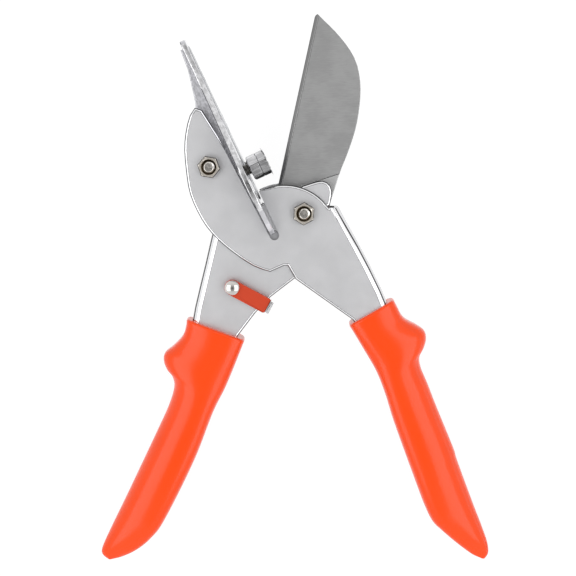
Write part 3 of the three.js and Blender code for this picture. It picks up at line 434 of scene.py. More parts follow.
# Corners under the plate: dull, and darkened beside the rim with painted shade
shaded_corner = metal("dull chrome with painted shade on a back corner", "#68686c", rough=(0.42, 0.42), grain=0.7,
                      depth=0.01)
# The rib's face keeps the rougher skin of the die, so it shines less
cast_skin = metal("chrome plate on rough die-cast skin", "#d8d8dc", rough=(0.46, 0.3), grain=0.7,
                  depth=0.02, stretch=(2.5, 1, 1), turn=ACROSS_TABLE, cloud=1.6, streaks=1.0,
                  mottle=0.74)
# The strip that the blade lands on: plain and satin, with fine lines from the drawing die
soft_aluminium = metal("drawn aluminium strip", "#cfd0d2", rough=(0.42, 0.34), grain=0.35,
                       depth=0.002, stretch=(1, 18, 1), turn=TABLE_TURN)
print("direction across the table, degrees:", ACROSS_TABLE)

# %% [markdown]
# Fasteners are cold headed, thread rolled and plated by the barrel. Their top faces stay bright,
# and their walls, rounded rims, threads and bores are painted in shade. Turned parts and the spring
# have no plate, and show the bare metal. All of them could share one steel, but the picture shows
# each in its own light, so each kind has a finish of its own, with that light and shade painted in.

# %% Metals of the small parts
# Nickel on bolts and nuts, a little warmer than the plate on the levers, with walls and rounded
# rims painted in shade
warm_nickel = metal("nickel plate on fasteners", "#fbf4ea", rough=(0.3, 0.16), grain=0.5,
                    depth=0.012, tones=HEXAGON_PAINTED_SHADE, streaks=0.6, mottle=0.8)
# A bolt's sheared end under the same plate: torn in the middle and bright on its chamfer, with
# faces that stand upright painted in shade
sheared_nickel = metal("nickel plate on sheared bolt ends", "#fffaf2", rough=(0.22, 0.12),
                       grain=1.1, depth=0.06, tones=BOLT_END_PAINTED_SHADE, cloud=1.6, streaks=0.9, mottle=0.58)
# Threads and bores are painted dark brown, as shade for the recesses they lie in
thread_in_painted_shade = metal("thread and bore in painted shade", "#857a69", rough=(0.35, 0.35), grain=0.4, depth=0.004)
# The stops' threads lie in the shade of their heads and look greyer
shaded_thread = metal("thread in shade", "#64625e", rough=(0.3, 0.3), grain=0.4, depth=0.004)
# Stop screws are plated brighter, and their flats carry painted reflections of the tent in stripes
bright_nickel = metal("bright nickel plate on stop screws", "#e8e8ea", rough=(0.16, 0.1), grain=0.6,
                      depth=0.012, tones=STOP_FACET_PAINTED_REFLECTIONS, stretch=(12, 1, 1), turn=TABLE_TURN,
                      streaks=0.8, mottle=0.6)
# Rivets, spacers and small screws: bare steel with a faint grey bloom
dull_steel = metal("turned mild steel", "#b5b5b8", rough=(0.4, 0.25), grain=0.4, depth=0.003)
# The bush is pressed from powder: a brown, porous bronze that holds oil
bronze = metal("sintered bronze", "#b3935a", rough=(0.42, 0.3), grain=0.3, depth=0.004)
# Spring wire comes smooth and dark from the drawing die
wire_steel = metal("drawn spring wire", "#9a9da2", rough=(0.3, 0.3), grain=0.3, depth=0.001)
# The latch's rivet has a polished head: nearly a mirror, slightly warm
rivet_chrome = metal("chrome plate on the latch rivet", "#dedad6", rough=(0.07, 0.06), grain=3.0,
                     depth=0.002)
print("materials:", len(bpy.data.materials))

# %% [markdown]
# Finishes for plastic. The grips are soft vinyl, dipped or moulded over the handles: a saturated
# orange under a thin gloss, with a slight swell that bends the reflections. The latch's sleeve is
# the same kind of dip in red, thinner and duller. A single flat colour would look like painted
# card, so two noises are used: a wide one for the swell and a fine one for the pores.


# %% Plastics
PORE_SIZE, PORE_DEPTH = 0.5, 0.0012
DEEP_SHARE = 0.93


def vinyl(name, colour, roughness, swell, depth, gloss):
    """A dipped vinyl. Swell is the size of its waves and depth their height, in millimetres."""
    material, tree = finish_tree(name)
    spot = add(tree, "TexCoord")
    waves = add(tree, "TexNoise", None,
                {"Vector": spot.outputs["Object"], "Scale": 1 / (swell * MM), "Detail": 1.0})
    pores = add(tree, "TexNoise", None,
                {"Vector": spot.outputs["Object"], "Scale": 1 / (PORE_SIZE * MM), "Detail": 2.0})
    rough = add(tree, "MapRange", None,
                {"Value": pores.outputs["Fac"], "From Min": 0.3, "From Max": 0.7,
                 "To Min": roughness * 0.85, "To Max": roughness * 1.15})
    deep = [c * DEEP_SHARE for c in linear(colour)[:3]] + [1.0]
    tint = add(tree, "Mix", {"data_type": "RGBA"},
               {0: waves.outputs["Fac"], 6: deep, 7: linear(colour)})
    swells = add(tree, "Bump", None, {"Height": waves.outputs["Fac"], "Distance": depth * MM})
    fine = add(tree, "Bump", None,
               {"Height": pores.outputs["Fac"], "Distance": PORE_DEPTH * MM,
                "Normal": swells.outputs[0]})
    shader = add(tree, "BsdfPrincipled", None,
                 {"Base Color": tint.outputs[2], "Roughness": rough.outputs[0],
                  "Specular IOR Level": gloss, "Normal": fine.outputs[0]})
    add(tree, "OutputMaterial", None, {"Surface": shader.outputs[0]})
    return material


orange_vinyl = vinyl("orange dipped vinyl", "#ff4b04", 0.2, 9.0, 0.03, 0.42)
red_vinyl = vinyl("red dipped vinyl", "#cd4220", 0.38, 3.0, 0.02, 0.3)
print("plastics:", orange_vinyl.name, "and", red_vinyl.name)

# %% [markdown]
# Pieces from the measured solids. A measured solid is loose triangles with knife-sharp edges, and a
# real piece has none. Each piece could be modelled anew, but its measured shape is right already.
# So a copy is merged, its flat triangles are joined into whole faces, and its sharp edges are
# rounded to the small radius that pressing, casting or turning leaves. A weighted normal then keeps
# the flat faces flat to the eye. The bevel operator is used and not a Bevel modifier, because it
# takes exactly the edges that it is given.

# %% Copies, edges and pieces
MERGE = 0.002
FLAT_ENOUGH = math.radians(0.4)
SHARP_FROM = 50
# The bevel operator lists its new points and faces in another order on each run. Put in order
# along one slanted line, they come out the same each time.
LISTED_ALONG = (1.0, 0.618034, 0.381966)


def listed(spot):
    """How far along the slanted line a point lies."""
    return sum(share * value for share, value in zip(LISTED_ALONG, spot))


def solid_copy(node):
    """A mesh being built, from a copy of a node's solid with whole flat faces."""
    bm = bmesh.new()
    bm.from_mesh(frame["nodes"][node].data)
    bmesh.ops.remove_doubles(bm, verts=bm.verts, dist=MERGE * MM)
    bmesh.ops.recalc_face_normals(bm, faces=bm.faces)
    bmesh.ops.dissolve_limit(bm, angle_limit=FLAT_ENOUGH, verts=bm.verts, edges=bm.edges)
    return bm


def round_edges(bm, radius, segments=2, least_turn=32, chosen=lambda edge: True):
    """Rounds the chosen edges that turn by more than an angle in degrees."""
    sharp = [e for e in bm.edges
             if e.is_manifold and e.calc_face_angle(0) > math.radians(least_turn) and chosen(e)]
    bmesh.ops.bevel(bm, geom=sharp, offset=radius * MM, offset_type="OFFSET", affect="EDGES",
                    segments=segments, profile=0.5, material=-1, clamp_overlap=False)


def smooth_object(name, bm, finishes, sharp_from=SHARP_FROM):
    """An object at the origin from a finished bmesh, smooth but for its sharp edges."""
    bm.verts.sort(key=lambda vert: listed(vert.co))
    bm.faces.sort(key=lambda part: listed(part.calc_center_median()))
    mesh = bpy.data.meshes.new(name)
    bm.to_mesh(mesh)
    bm.free()
    for finish in finishes:
        mesh.materials.append(finish)
    mesh.shade_smooth()
    mesh.set_sharp_from_angle(angle=math.radians(sharp_from))
    made = bpy.data.objects.new(name, mesh)
    bpy.context.scene.collection.objects.link(made)
    print(name, "faces:", len(mesh.polygons))
    return made


def make_piece(name, bm, finishes, body, slot, *nodes):
    """A finished piece that rides on a body and stands for some nodes."""
    piece = smooth_object(name, bm, finishes)
    weighted = piece.modifiers.new("flat faces stay flat", "WEIGHTED_NORMAL")
    weighted.keep_sharp = True
    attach(piece, body)
    if nodes:
        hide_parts(*nodes)
    return piece


print("edges that stay sharp turn by more than", SHARP_FROM, "degrees")

# %% [markdown]
# The table leans on the tool, so its own directions are needed for everything on it. They could be
# typed in as angles. It is safer to take them from the stop screws' joint, since the screws go
# straight through the table. Out points from the table's face to its back, and along points to the
# tip.

# %% Table's own directions
TABLE_OUT = -Vector(next(j for j in frame["joints"]
                         if j["name"] == "front_stop_screw")["axis"]).normalized()
TABLE_ALONG = TABLE_OUT.cross(UP)
TABLE_LEVEL = 16.8 * MM


def on_table(along, level, across):
    """A point by its place along the table, its level below the pivot and its place across."""
    return PIVOT + TABLE_ALONG * along * MM + TABLE_OUT * level * MM + UP * across * MM


print("along the table:", [round(c, 3) for c in TABLE_ALONG])

# %% [markdown]
# The levers are blanked from sheet steel and folded into channels. Each could be a flat outline
# that a Solidify modifier makes thick and a second step bends, but the measured copy is bent
# already, and only lacks its edges and finishes. Punching leaves a soft edge on one side of a
# blank, and it is wide enough here to carry a painted highlight, a line for the bright side of the
# tent. The folds and the low web get their own finish, with a painted highlight on the bend,
# painted dark lines beside it and the web painted in shade, so their faces are told apart by how
# they lean. The slot that holds the table keeps its crisp walls, because there the punch went
# straight through.

# %% Slot in the outer lever
SLOT_LEVELS, SLOT_REACH = (14, 22), (-7, 56)
WALL_LEAN = 0.05


def in_slot(spot):
    """Whether a point lies in the slot that holds the table."""
    reach = spot - PIVOT
    return (SLOT_LEVELS[0] * MM < reach.dot(TABLE_OUT) < SLOT_LEVELS[1] * MM
            and SLOT_REACH[0] * MM < reach.dot(TABLE_ALONG) < SLOT_REACH[1] * MM)


def crisp_walls(mesh):
    """Keeps the slot's walls and the cheeks beside them flat to the eye, up to their edges."""
    by_ends = {edge.key: edge for edge in mesh.edges}
    walls = [part for part in mesh.polygons
             if abs(part.normal.z) < WALL_LEAN and in_slot(part.center)]
    for wall in walls:
        for key in wall.edge_keys:
            by_ends[key].use_edge_sharp = True
    print("crisp walls beside the slot:", len(walls))


# %% Levers
SHEET_EDGE, INNER_EDGE = 1.3, 0.25
WEB_LEAN, CHEEK_LEAN = 0.03, 0.9995
RIM_HEIGHT, FACE_MARGIN, INNER_MARGIN = 2.5, 0.1, 1.5
# Node, body, height of its cheek above the pivot's middle, and the finish of its folds
LEVERS = (("anvil_lever", "anvil_side", 8.7, outer_folded_nickel),
          ("blade_lever", "blade_side", 6.6, folded_nickel))
for node, body, cheek, folded in LEVERS:
    bm = solid_copy(node)
    for part in bm.faces:
        lean = abs(part.normal.z)
        heights = [abs(v.co.z - PIVOT.z) / MM for v in part.verts]
        is_fold = WEB_LEAN < lean < CHEEK_LEAN
        is_web = lean < WEB_LEAN and min(heights) < cheek - RIM_HEIGHT
        # Folds and the low web take the finish with painted light: a highlight and dark lines on
        # the bend, shade on the web
        if is_fold or is_web:
            part.material_index = 1
    on_cheek = {v for v in bm.verts if abs(v.co.z - PIVOT.z) > (cheek - FACE_MARGIN) * MM}
    round_edges(bm, SHEET_EDGE, segments=4, least_turn=45,
                chosen=lambda edge: on_cheek.issuperset(edge.verts)
                and not in_slot((edge.verts[0].co + edge.verts[1].co) / 2))
    round_edges(bm, INNER_EDGE, least_turn=45,
                chosen=lambda edge: all(abs(v.co.z - PIVOT.z) < (cheek - INNER_MARGIN) * MM
                                        for v in edge.verts))
    lever = make_piece("folded_" + node, bm, (satin_nickel, folded), body, "sheet_steel", node)
    crisp_walls(lever.data)

# %% [markdown]
# The blade has three surfaces: the ground face, the honed bevel along the edge, and the root that
# the grinding wheel never reached. Separate objects for them would leave seams, so it is one mesh
# with three materials, and each face gets its own by where it lies and how it leans.

# %% Blade
BLADE_LEAN = math.radians(BLADE_TURN)
EDGE_SIDE = Vector((-math.cos(BLADE_LEAN), math.sin(BLADE_LEAN), 0))
BEVEL_LEAST, LEVEL_LEAST, TOWARDS_EDGE, ROOT_MARGIN = 0.5, 0.99, 0.2, 0.05
BLADE_EDGE = 0.3
bm = solid_copy("blade")
blade_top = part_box("blade")[1].z
for face in bm.faces:
    upright = abs(face.normal.z)
    height = abs(face.calc_center_median().z - PIVOT.z)
    if BEVEL_LEAST < upright < LEVEL_LEAST and face.normal.dot(EDGE_SIDE) > TOWARDS_EDGE:
        face.material_index = 2
    elif upright > LEVEL_LEAST and height > (blade_top - PIVOT.z) - ROOT_MARGIN * MM:
        face.material_index = 1
round_edges(bm, BLADE_EDGE, segments=3, least_turn=20)
make_piece("ground_blade", bm, (ground_steel, rolled_steel, honed_steel), "blade_side",
           "blade_steel", "blade")

# %% [markdown]
# The mitre table is one casting: a plate, a rib along its back, and two low bosses for the stop
# screws. Its edges are rounder than sheet metal's, because zinc is poured into a die whose corners
# are eased. The bosses are pressed down to the height that shows on the tool, and the rib's tail is
# shortened so that the end of the lever's slot stays open and dark. Both are done by moving the
# points of the copy, which keeps its faces whole, where a boolean would cut them up.

# %% Mitre table
CAST_EDGE, CAST_TURN = 0.4, 34
PLATE, BOSS_REACH, BOSS_RISE, TAIL_EASE = 2.7, 6.2, 0.6, 2.6
RIB_HALF = 3.5
RIM_LEAST, CORNER_LEAST, TOWARDS_BACK = 0.9, 0.15, 0.3
UNDERSIDE = TABLE_LEVEL + PLATE * MM
BOSS_TOP = UNDERSIDE + BOSS_RISE * MM
bm = solid_copy("mitre_table")
stops = [middle("stop_nut_front"), middle("stop_nut_back")]
tail_end = min((v.co - PIVOT).dot(TABLE_ALONG) for v in bm.verts)
for vert in bm.verts:
    level = (vert.co - PIVOT).dot(TABLE_OUT)
    from_stop = min((vert.co - at).cross(TABLE_OUT).length for at in stops)
    if from_stop < BOSS_REACH * MM and level > BOSS_TOP:
        vert.co += TABLE_OUT * (BOSS_TOP - level)
    if (vert.co - PIVOT).dot(TABLE_ALONG) < tail_end + TAIL_EASE * MM:
        vert.co += TABLE_ALONG * TAIL_EASE * MM
for face in bm.faces:
    if abs(face.normal.z) > RIM_LEAST:
        on_rib = abs(face.calc_center_median().z - PIVOT.z) < RIB_HALF * MM
        face.material_index = 1 if on_rib else 2
round_edges(bm, CAST_EDGE, least_turn=CAST_TURN)
# Back corners beside the rim take the dull chrome with painted shade
for face in bm.faces:
    is_corner = CORNER_LEAST < abs(face.normal.z) < RIM_LEAST
    if is_corner and face.normal.dot(TABLE_OUT) > TOWARDS_BACK:
        face.material_index = 3
make_piece("cast_table", bm, (chrome_casting, cast_skin, pitted_chrome, shaded_corner),
           "anvil_side", "table_chrome", "mitre_table")

# %% [markdown]
# Raised lines on the table's face mark the usual cutting angles, and are cast with it. They could
# be a bump in the material, but a bump has no edge that catches the light, so each line is a long
# low bar with eased edges, half sunk in the face. They are the same above and below the strip.

# %% Angle lines on the table
# Angle of the cut, how far across the table its line reaches, and where along the table it starts
ANGLE_LINES = ((90, 22, 50), (75, 20, 50), (60, 18, 50), (45, 13, 50))
LINE_WIDTH, LINE_RISE, LINE_NEAR, LINE_EDGE = 0.7, 0.16, 8.0, 0.1


def add_bar(bm, centre, length, width, height):
    """A bar round a centre, given by its three whole edges as vectors."""
    verts = bmesh.ops.create_cube(bm, size=1)["verts"]
    edges = Matrix((length, width, height)).transposed().to_4x4()
    bmesh.ops.transform(bm, verts=verts, matrix=Matrix.Translation(centre) @ edges)


bm = bmesh.new()
for angle, reach, start in ANGLE_LINES:
    for side in (1, -1):
        lean = math.radians(90 - angle)
        heading = (UP * side * math.cos(lean) + TABLE_ALONG * math.sin(lean)).normalized()
        half = (reach - LINE_NEAR) / math.cos(lean) / 2
        centre = on_table(start + (reach + LINE_NEAR) / 2 * math.tan(lean), TABLE_LEVEL / MM,
                          side * (reach + LINE_NEAR) / 2)
        add_bar(bm, centre, heading * 2 * half * MM, heading.cross(TABLE_OUT) * LINE_WIDTH * MM,
                TABLE_OUT * 2 * LINE_RISE * MM)
bmesh.ops.recalc_face_normals(bm, faces=bm.faces)
round_edges(bm, LINE_EDGE)
make_piece("angle_lines", bm, (chrome_casting,), "anvil_side", "table_chrome")

# %% [markdown]
# The strip is what the edge lands on, so it is softer than the blade. Its screws are sunk below its
# face, each with a slot for a screwdriver. The slot is cut with a boolean, since it crosses a
# turned face that no extrude could open cleanly. The screws stopped where they were tight, so their
# slots point in different directions.

# %% Strip
STRIP_EDGE = 0.2
bm = solid_copy("anvil_strip")
round_edges(bm, STRIP_EDGE, least_turn=CAST_TURN)
make_piece("soft_strip", bm, (soft_aluminium,), "anvil_side", "strip_metal", "anvil_strip")


# %% Slotted screws
def cut_away(piece, cutter_bm):
    """Cuts a closed shape out of a piece for good, and throws the cutter away."""
    mesh = bpy.data.meshes.new("cutter")
    cutter_bm.to_mesh(mesh)
    cutter_bm.free()
    cutter = bpy.data.objects.new("cutter", mesh)
    bpy.context.scene.collection.objects.link(cutter)
    boolean = piece.modifiers.new("cut", "BOOLEAN")
    boolean.operation, boolean.object, boolean.solver = "DIFFERENCE", cutter, "EXACT"
    piece.modifiers.move(len(piece.modifiers) - 1, 0)
    bpy.context.view_layer.update()
    evaluated = piece.evaluated_get(bpy.context.evaluated_depsgraph_get())
    result = bpy.data.meshes.new_from_object(evaluated)
    piece.modifiers.remove(boolean)
    old, piece.data = piece.data, result
    bpy.data.meshes.remove(old)
    bpy.data.objects.remove(cutter)
    bpy.data.meshes.remove(mesh)


SLOT_WIDTH, SLOT_DEPTH, SLOT_LENGTH = 0.9, 0.7, 8
SCREW_EDGE, SLOT_STEP = 0.12, 1.1
for i in (1, 2, 3):
    node = f"strip_screw_{i}"
    bm = solid_copy(node)
    round_edges(bm, SCREW_EDGE, least_turn=40)
    screw = make_piece(f"slotted_screw_{i}", bm, (dull_steel,), "anvil_side", "screw_steel", node)
    centre = middle(node)
    top = centre + TABLE_OUT * (TABLE_LEVEL - (centre - PIVOT).dot(TABLE_OUT))
    heading = UP * math.cos(i * SLOT_STEP) + TABLE_ALONG * math.sin(i * SLOT_STEP)
    cutter = bmesh.new()
    add_bar(cutter, top, heading * SLOT_LENGTH * MM, heading.cross(TABLE_OUT) * SLOT_WIDTH * MM,
            TABLE_OUT * 2 * SLOT_DEPTH * MM)
    bmesh.ops.recalc_face_normals(cutter, faces=cutter.faces)
    cut_away(screw, cutter)

# %% [markdown]
# Screw threads. A thread is rolled between two dies, and a helix could be drawn with the Screw
# modifier. Here it is one small tooth that is spun round the bolt's axis and lifted by one pitch
# each turn, then trimmed flat at both ends, because the spin operator gives a closed mesh with the
# exact pitch. The end is drawn in to a chamfer, and it gets the material of a sheared end.

# %% Threads
BOLT_RADIUS, PITCH, THREAD_DEPTH = 3.0, 1.0, 0.55
# One pitch of the thread: how far along it, and how far up from root to crest
TOOTH = ((0.0, 0.0), (0.14, 0.0), (0.45, 1.0), (0.57, 1.0), (0.88, 0.0), (1.0, 0.0))
STEPS_A_TURN = 24
END_CHAMFER, END_DEPTH = 0.95, 0.4


def to_axis(centre, axis):
    """The matrix that brings an axis in the world to Z and its centre to the origin."""
    side = Vector((0, 0, 1)) if abs(axis.z) < 0.5 else Vector((1, 0, 0))
    x = side.cross(axis).normalized()
    turned = Matrix((x, axis.cross(x), axis)).transposed().to_4x4()
    return (Matrix.Translation(centre) @ turned).inverted()


def trim(bm, height, side):
    """Cuts off what lies above a height on Z, or below it where the side is -1."""
    bmesh.ops.bisect_plane(bm, geom=bm.verts[:] + bm.edges[:] + bm.faces[:], dist=1e-7,
                           plane_co=(0, 0, height * MM), plane_no=(0, 0, side), clear_outer=True)


def add_thread(bm, low, high):
    """A closed threaded rod on Z, between two heights in millimetres."""
    new = bmesh.new()
    points = [new.verts.new(((BOLT_RADIUS - THREAD_DEPTH * (1 - rise)) * MM, 0,
                             (low - PITCH + along * PITCH) * MM)) for along, rise in TOOTH]
    edges = [new.edges.new(pair) for pair in zip(points, points[1:])]
    turns = math.ceil((high - low) / PITCH) + 2
    bmesh.ops.spin(new, geom=points + edges, axis=(0, 0, 1), cent=(0, 0, 0),
                   angle=2 * math.pi * turns, steps=STEPS_A_TURN * turns,
                   dvec=(0, 0, PITCH * MM / STEPS_A_TURN), use_merge=False)
    bmesh.ops.remove_doubles(new, verts=new.verts, dist=0.001 * MM)
    for height, side in ((low, -1), (high, 1)):
        trim(new, height, side)
        rim = [e for e in new.edges if e.is_boundary
               and all(abs(v.co.z - height * MM) < 1e-6 for v in e.verts)]
        bmesh.ops.holes_fill(new, edges=rim, sides=0)
    for vert in new.verts:
        into_end = max(0, vert.co.z - (high - END_DEPTH) * MM)
        reach = BOLT_RADIUS * MM - into_end * END_CHAMFER / END_DEPTH
        out = vert.co.xy.length
        if out > reach:
            vert.co.xy *= reach / out
    bmesh.ops.recalc_face_normals(new, faces=new.faces)
    for face in new.faces:
        at_end = min(v.co.z for v in face.verts) > (high - END_DEPTH * 1.2) * MM
        face.material_index = 2 if at_end else 1
    mesh = bpy.data.meshes.new("thread")
    new.to_mesh(mesh)
    new.free()
    bm.from_mesh(mesh)
    bpy.data.meshes.remove(mesh)


print("thread, mm: pitch", PITCH, "depth", THREAD_DEPTH, "steps a turn", STEPS_A_TURN)

# %% [markdown]
# Bolts and nuts. Each bolt's head and plain neck are a copy of its measured solid, and its thread
# is new, so the copy is cut off where the thread begins. A bump map could fake the thread, but its
# outline shows past the nut. A nut has a countersink at its bore, so its inner rim gets a wide flat
# bevel, and its six corners are eased, as they are on a real nut.

# %% Bolts and nuts
HEAD_HEIGHT, HEAD_EDGE, THREAD_LAP = 4.0, 0.3, 0.05
COUNTERSINK, NUT_EDGE = 0.75, 0.4
BORE = BOLT_RADIUS * 1.2 * MM


def threaded_bolt(name, node, axis, neck, finishes, body, slot, end=None):
    """A bolt with its measured head and neck, and a thread from the neck to its end."""
    place = to_axis(middle(node), axis)
    bm = solid_copy(node)
    bmesh.ops.transform(bm, verts=bm.verts, matrix=place)
    low = min(v.co.z for v in bm.verts) / MM
    high = max(v.co.z for v in bm.verts) / MM
    if end:
        high = min(high, (place @ end).z / MM)
    cut = low + HEAD_HEIGHT + neck
    trim(bm, cut, 1)
    bmesh.ops.holes_fill(bm, edges=[e for e in bm.edges if e.is_boundary], sides=0)
    round_edges(bm, HEAD_EDGE, least_turn=25)
    add_thread(bm, cut - THREAD_LAP, high)
    bmesh.ops.transform(bm, verts=bm.verts, matrix=place.inverted())
    return make_piece(name, bm, (*finishes, sheared_nickel), body, slot, node)


def faced_nut(name, node, axis, finish, body, slot):
    """A nut with eased corners and a countersunk bore."""
    place = to_axis(middle(node), axis)
    bm = solid_copy(node)
    bmesh.ops.transform(bm, verts=bm.verts, matrix=place)
    round_edges(bm, COUNTERSINK, segments=1, least_turn=60,
                chosen=lambda edge: all(v.co.xy.length < BORE for v in edge.verts))
    # The bore and its countersink take the thread's colour, painted shade
    for face in bm.faces:
        if all(v.co.xy.length < BORE * 1.15 for v in face.verts):
            face.material_index = 1
    round_edges(bm, NUT_EDGE, least_turn=45,
                chosen=lambda edge: all(v.co.xy.length > BORE * 1.2 for v in edge.verts))
    bmesh.ops.transform(bm, verts=bm.verts, matrix=place.inverted())
    return make_piece(name, bm, (finish, thread_in_painted_shade), body, slot, node)


PIVOT_NECK, STOP_NECK, STOP_END = 18.4, 0.3, 0.3
for place in ("pivot", "table"):
    threaded_bolt(f"threaded_{place}_bolt", f"{place}_bolt", UP, PIVOT_NECK,
                  (warm_nickel, thread_in_painted_shade), "anvil_side", "fastener_steel")
    faced_nut(f"faced_{place}_nut", f"{place}_nut", UP, warm_nickel, "anvil_side",
              "fastener_steel")
for place in ("front", "back"):
    # The stop's end is cut flush with its boss
    flush = middle("stop_nut_" + place)
    flush += TABLE_OUT * (UNDERSIDE + (BOSS_RISE + STOP_END) * MM - (flush - PIVOT).dot(TABLE_OUT))
    threaded_bolt(f"threaded_stop_{place}", f"stop_bolt_{place}", TABLE_OUT, STOP_NECK,
                  (bright_nickel, shaded_thread), "stop_" + place, "stop_steel", flush)
    faced_nut(f"faced_stop_nut_{place}", f"stop_nut_{place}", TABLE_OUT, bright_nickel,
              "stop_" + place, "stop_steel")

# %% [markdown]
# Rivets, spacers and the bush are turned on a lathe. They could be spun from a profile, but their
# measured copies are exact already, and only lack the small eased edge that a lathe tool leaves.
# Little of them shows when the tool is shut, but they are seen between the cheeks from the side.

# %% Turned pieces
TURNED_EDGE = 0.12
TURNED = ((("blade_rivet_upper", "blade_rivet_lower"), dull_steel, "rivet_steel", "blade_side"),
          (("rivet_spacer_upper_front", "rivet_spacer_upper_back", "rivet_spacer_lower_front",
            "rivet_spacer_lower_back", "pivot_spacer"), dull_steel, "spacer_steel", "blade_side"),
          (("pivot_bush",), bronze, "bush_brass", "anvil_side"))
for turned_nodes, finish, slot, body in TURNED:
    for node in turned_nodes:
        bm = solid_copy(node)
        round_edges(bm, TURNED_EDGE, least_turn=CAST_TURN)
        make_piece("turned_" + node, bm, (finish,), body, slot, node)

# %% [markdown]
# The return spring is hard drawn wire. One leg presses on each lever, so when the handles close the
# wire bends between them. A bone or a lattice could bend it. The sharp ends of the wire are eased.

# %% Return spring
COIL_HALF, WIRE_END = 7, 0.1
bm = solid_copy("return_spring")
round_edges(bm, WIRE_END, least_turn=60)
spring = smooth_object("wire_spring", bm, (wire_steel,), sharp_from=55)
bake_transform(spring)
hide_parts("return_spring")

# %% [markdown]
# The latch is a strip of spring steel in a red dipped sleeve. Dipping leaves thick round edges, so
# the sleeve is rounded far more than any metal here, and most at the two corners away from the
# rivet, where the dip gathered. A Subdivision Surface would round it everywhere alike and shrink
# it. The bevel keeps its size and gives each edge what it needs.

# %% Latch
STRIP_CORNER, SLEEVE_CORNER, SLEEVE_EDGE, SLEEVE_FAR = 0.15, 1.1, 0.35, 15
hinge_at = middle("latch_rivet")


def far_corner(edge):
    """Whether an edge stands upright at the sleeve's end away from the rivet."""
    upright = abs(edge.verts[0].co.z - edge.verts[1].co.z) > 0.5 * edge.calc_length()
    return upright and (edge.verts[0].co.xy - hinge_at.xy).length > SLEEVE_FAR * MM


bm = solid_copy("latch_plate")
round_edges(bm, STRIP_CORNER)
make_piece("latch_strip", bm, (satin_nickel,), "latch", "latch_steel", "latch_plate")
bm = solid_copy("latch_sleeve")
round_edges(bm, SLEEVE_CORNER, segments=4, least_turn=60, chosen=far_corner)
round_edges(bm, SLEEVE_EDGE, segments=3, least_turn=CAST_TURN)
make_piece("dipped_sleeve", bm, (red_vinyl,), "latch", "latch_plastic", "latch_sleeve")

# %% [markdown]
# The latch's rivet has a low polished dome and a shoulder that lets the latch turn. Its dome in the
# measured solid has few facets, and a mirror shows every one. So the rivet is spun anew from a
# profile, as it was turned: dome, neck, shoulder, the part in the lever's cheek and the closed end.

# %% Domed rivet
rivet_low, rivet_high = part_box("latch_rivet")
HEAD_RADIUS, NECK_RADIUS, SHOULDER_RADIUS, HEAD_RISE = 3.7, 1.5, 2.8, 2.0
HEAD_RIM, HEAD_UNDERCUT, SHOULDER_HEIGHT, SHEET = 0.25, 0.12, 1.1, 1.8
DOME_STEPS, SPIN_STEPS = 10, 48
cheek = PIVOT.z / MM + LEVERS[1][2]
head_seat = rivet_high.z / MM - HEAD_RISE
dome = [(HEAD_RADIUS * math.cos(t * math.pi / 2 / DOME_STEPS),
         head_seat + HEAD_RIM + (HEAD_RISE - HEAD_RIM) * math.sin(t * math.pi / 2 / DOME_STEPS))
        for t in range(DOME_STEPS, -1, -1)]
profile = [*dome, (HEAD_RADIUS - HEAD_UNDERCUT, head_seat), (NECK_RADIUS, head_seat),
           (NECK_RADIUS, cheek + SHOULDER_HEIGHT), (SHOULDER_RADIUS, cheek + SHOULDER_HEIGHT),
           (SHOULDER_RADIUS, cheek), (NECK_RADIUS, cheek), (NECK_RADIUS, cheek - SHEET),
           (SHOULDER_RADIUS, cheek - SHEET), (SHOULDER_RADIUS, rivet_low.z / MM),
           (0, rivet_low.z / MM)]
bm = bmesh.new()
points = [bm.verts.new((hinge_at.x + radius * MM, hinge_at.y, height * MM))
          for radius, height in profile]
edges = [bm.edges.new(pair) for pair in zip(points, points[1:])]
bmesh.ops.spin(bm, geom=points + edges, axis=(0, 0, 1), cent=(hinge_at.x, hinge_at.y, 0),
               angle=2 * math.pi, steps=SPIN_STEPS, use_merge=True)
bmesh.ops.remove_doubles(bm, verts=bm.verts, dist=0.001 * MM)
bmesh.ops.recalc_face_normals(bm, faces=bm.faces)
make_piece("domed_rivet", bm, (rivet_chrome,), "blade_side", "latch_rivet_chrome", "latch_rivet")

# %% [markdown]
# The grips. Each is a skin of vinyl that was moulded along the handle, with a stop for the thumb
# near its mouth. It could be sculpted, or be a bevelled copy of its solid. A loft is cleaner: a
# ring of points is drawn out from the mouth to the nose, and at every station it is fitted between
# the inner and the outer edge of the grip in plan. The outlines are those of the measured solids,
# as shares of the lever's length.

# %% Grip outlines
LEVER_LENGTH = 200.0
ANVIL_GRIP_INNER = ((0.1118, -0.2785), (0.1512, -0.3443), (0.182, -0.3987), (0.2048, -0.4577),
                    (0.2278, -0.5304), (0.2827, -0.6813), (0.3053, -0.7404), (0.3241, -0.7777),
                    (0.3465, -0.8004), (0.3829, -0.8325), (0.4246, -0.8649), (0.4487, -0.8761))
ANVIL_GRIP_OUTER = ((0.2223, -0.2154), (0.2331, -0.236), (0.2491, -0.2632), (0.2829, -0.2827),
                    (0.3008, -0.2961), (0.3061, -0.3141), (0.3016, -0.3368), (0.2901, -0.3615),
                    (0.2933, -0.3889), (0.3105, -0.4298), (0.3335, -0.4884), (0.3765, -0.5929),
                    (0.3866, -0.6248), (0.4257, -0.7305), (0.449, -0.7904), (0.465, -0.8362),
                    (0.4678, -0.8641), (0.4592, -0.8778))
BLADE_GRIP_INNER = ((-0.146, -0.3163), (-0.1912, -0.4289), (-0.226, -0.5002), (-0.2743, -0.6236),
                    (-0.3488, -0.774), (-0.3843, -0.8224), (-0.4201, -0.8524), (-0.4578, -0.8717),
                    (-0.4854, -0.879))
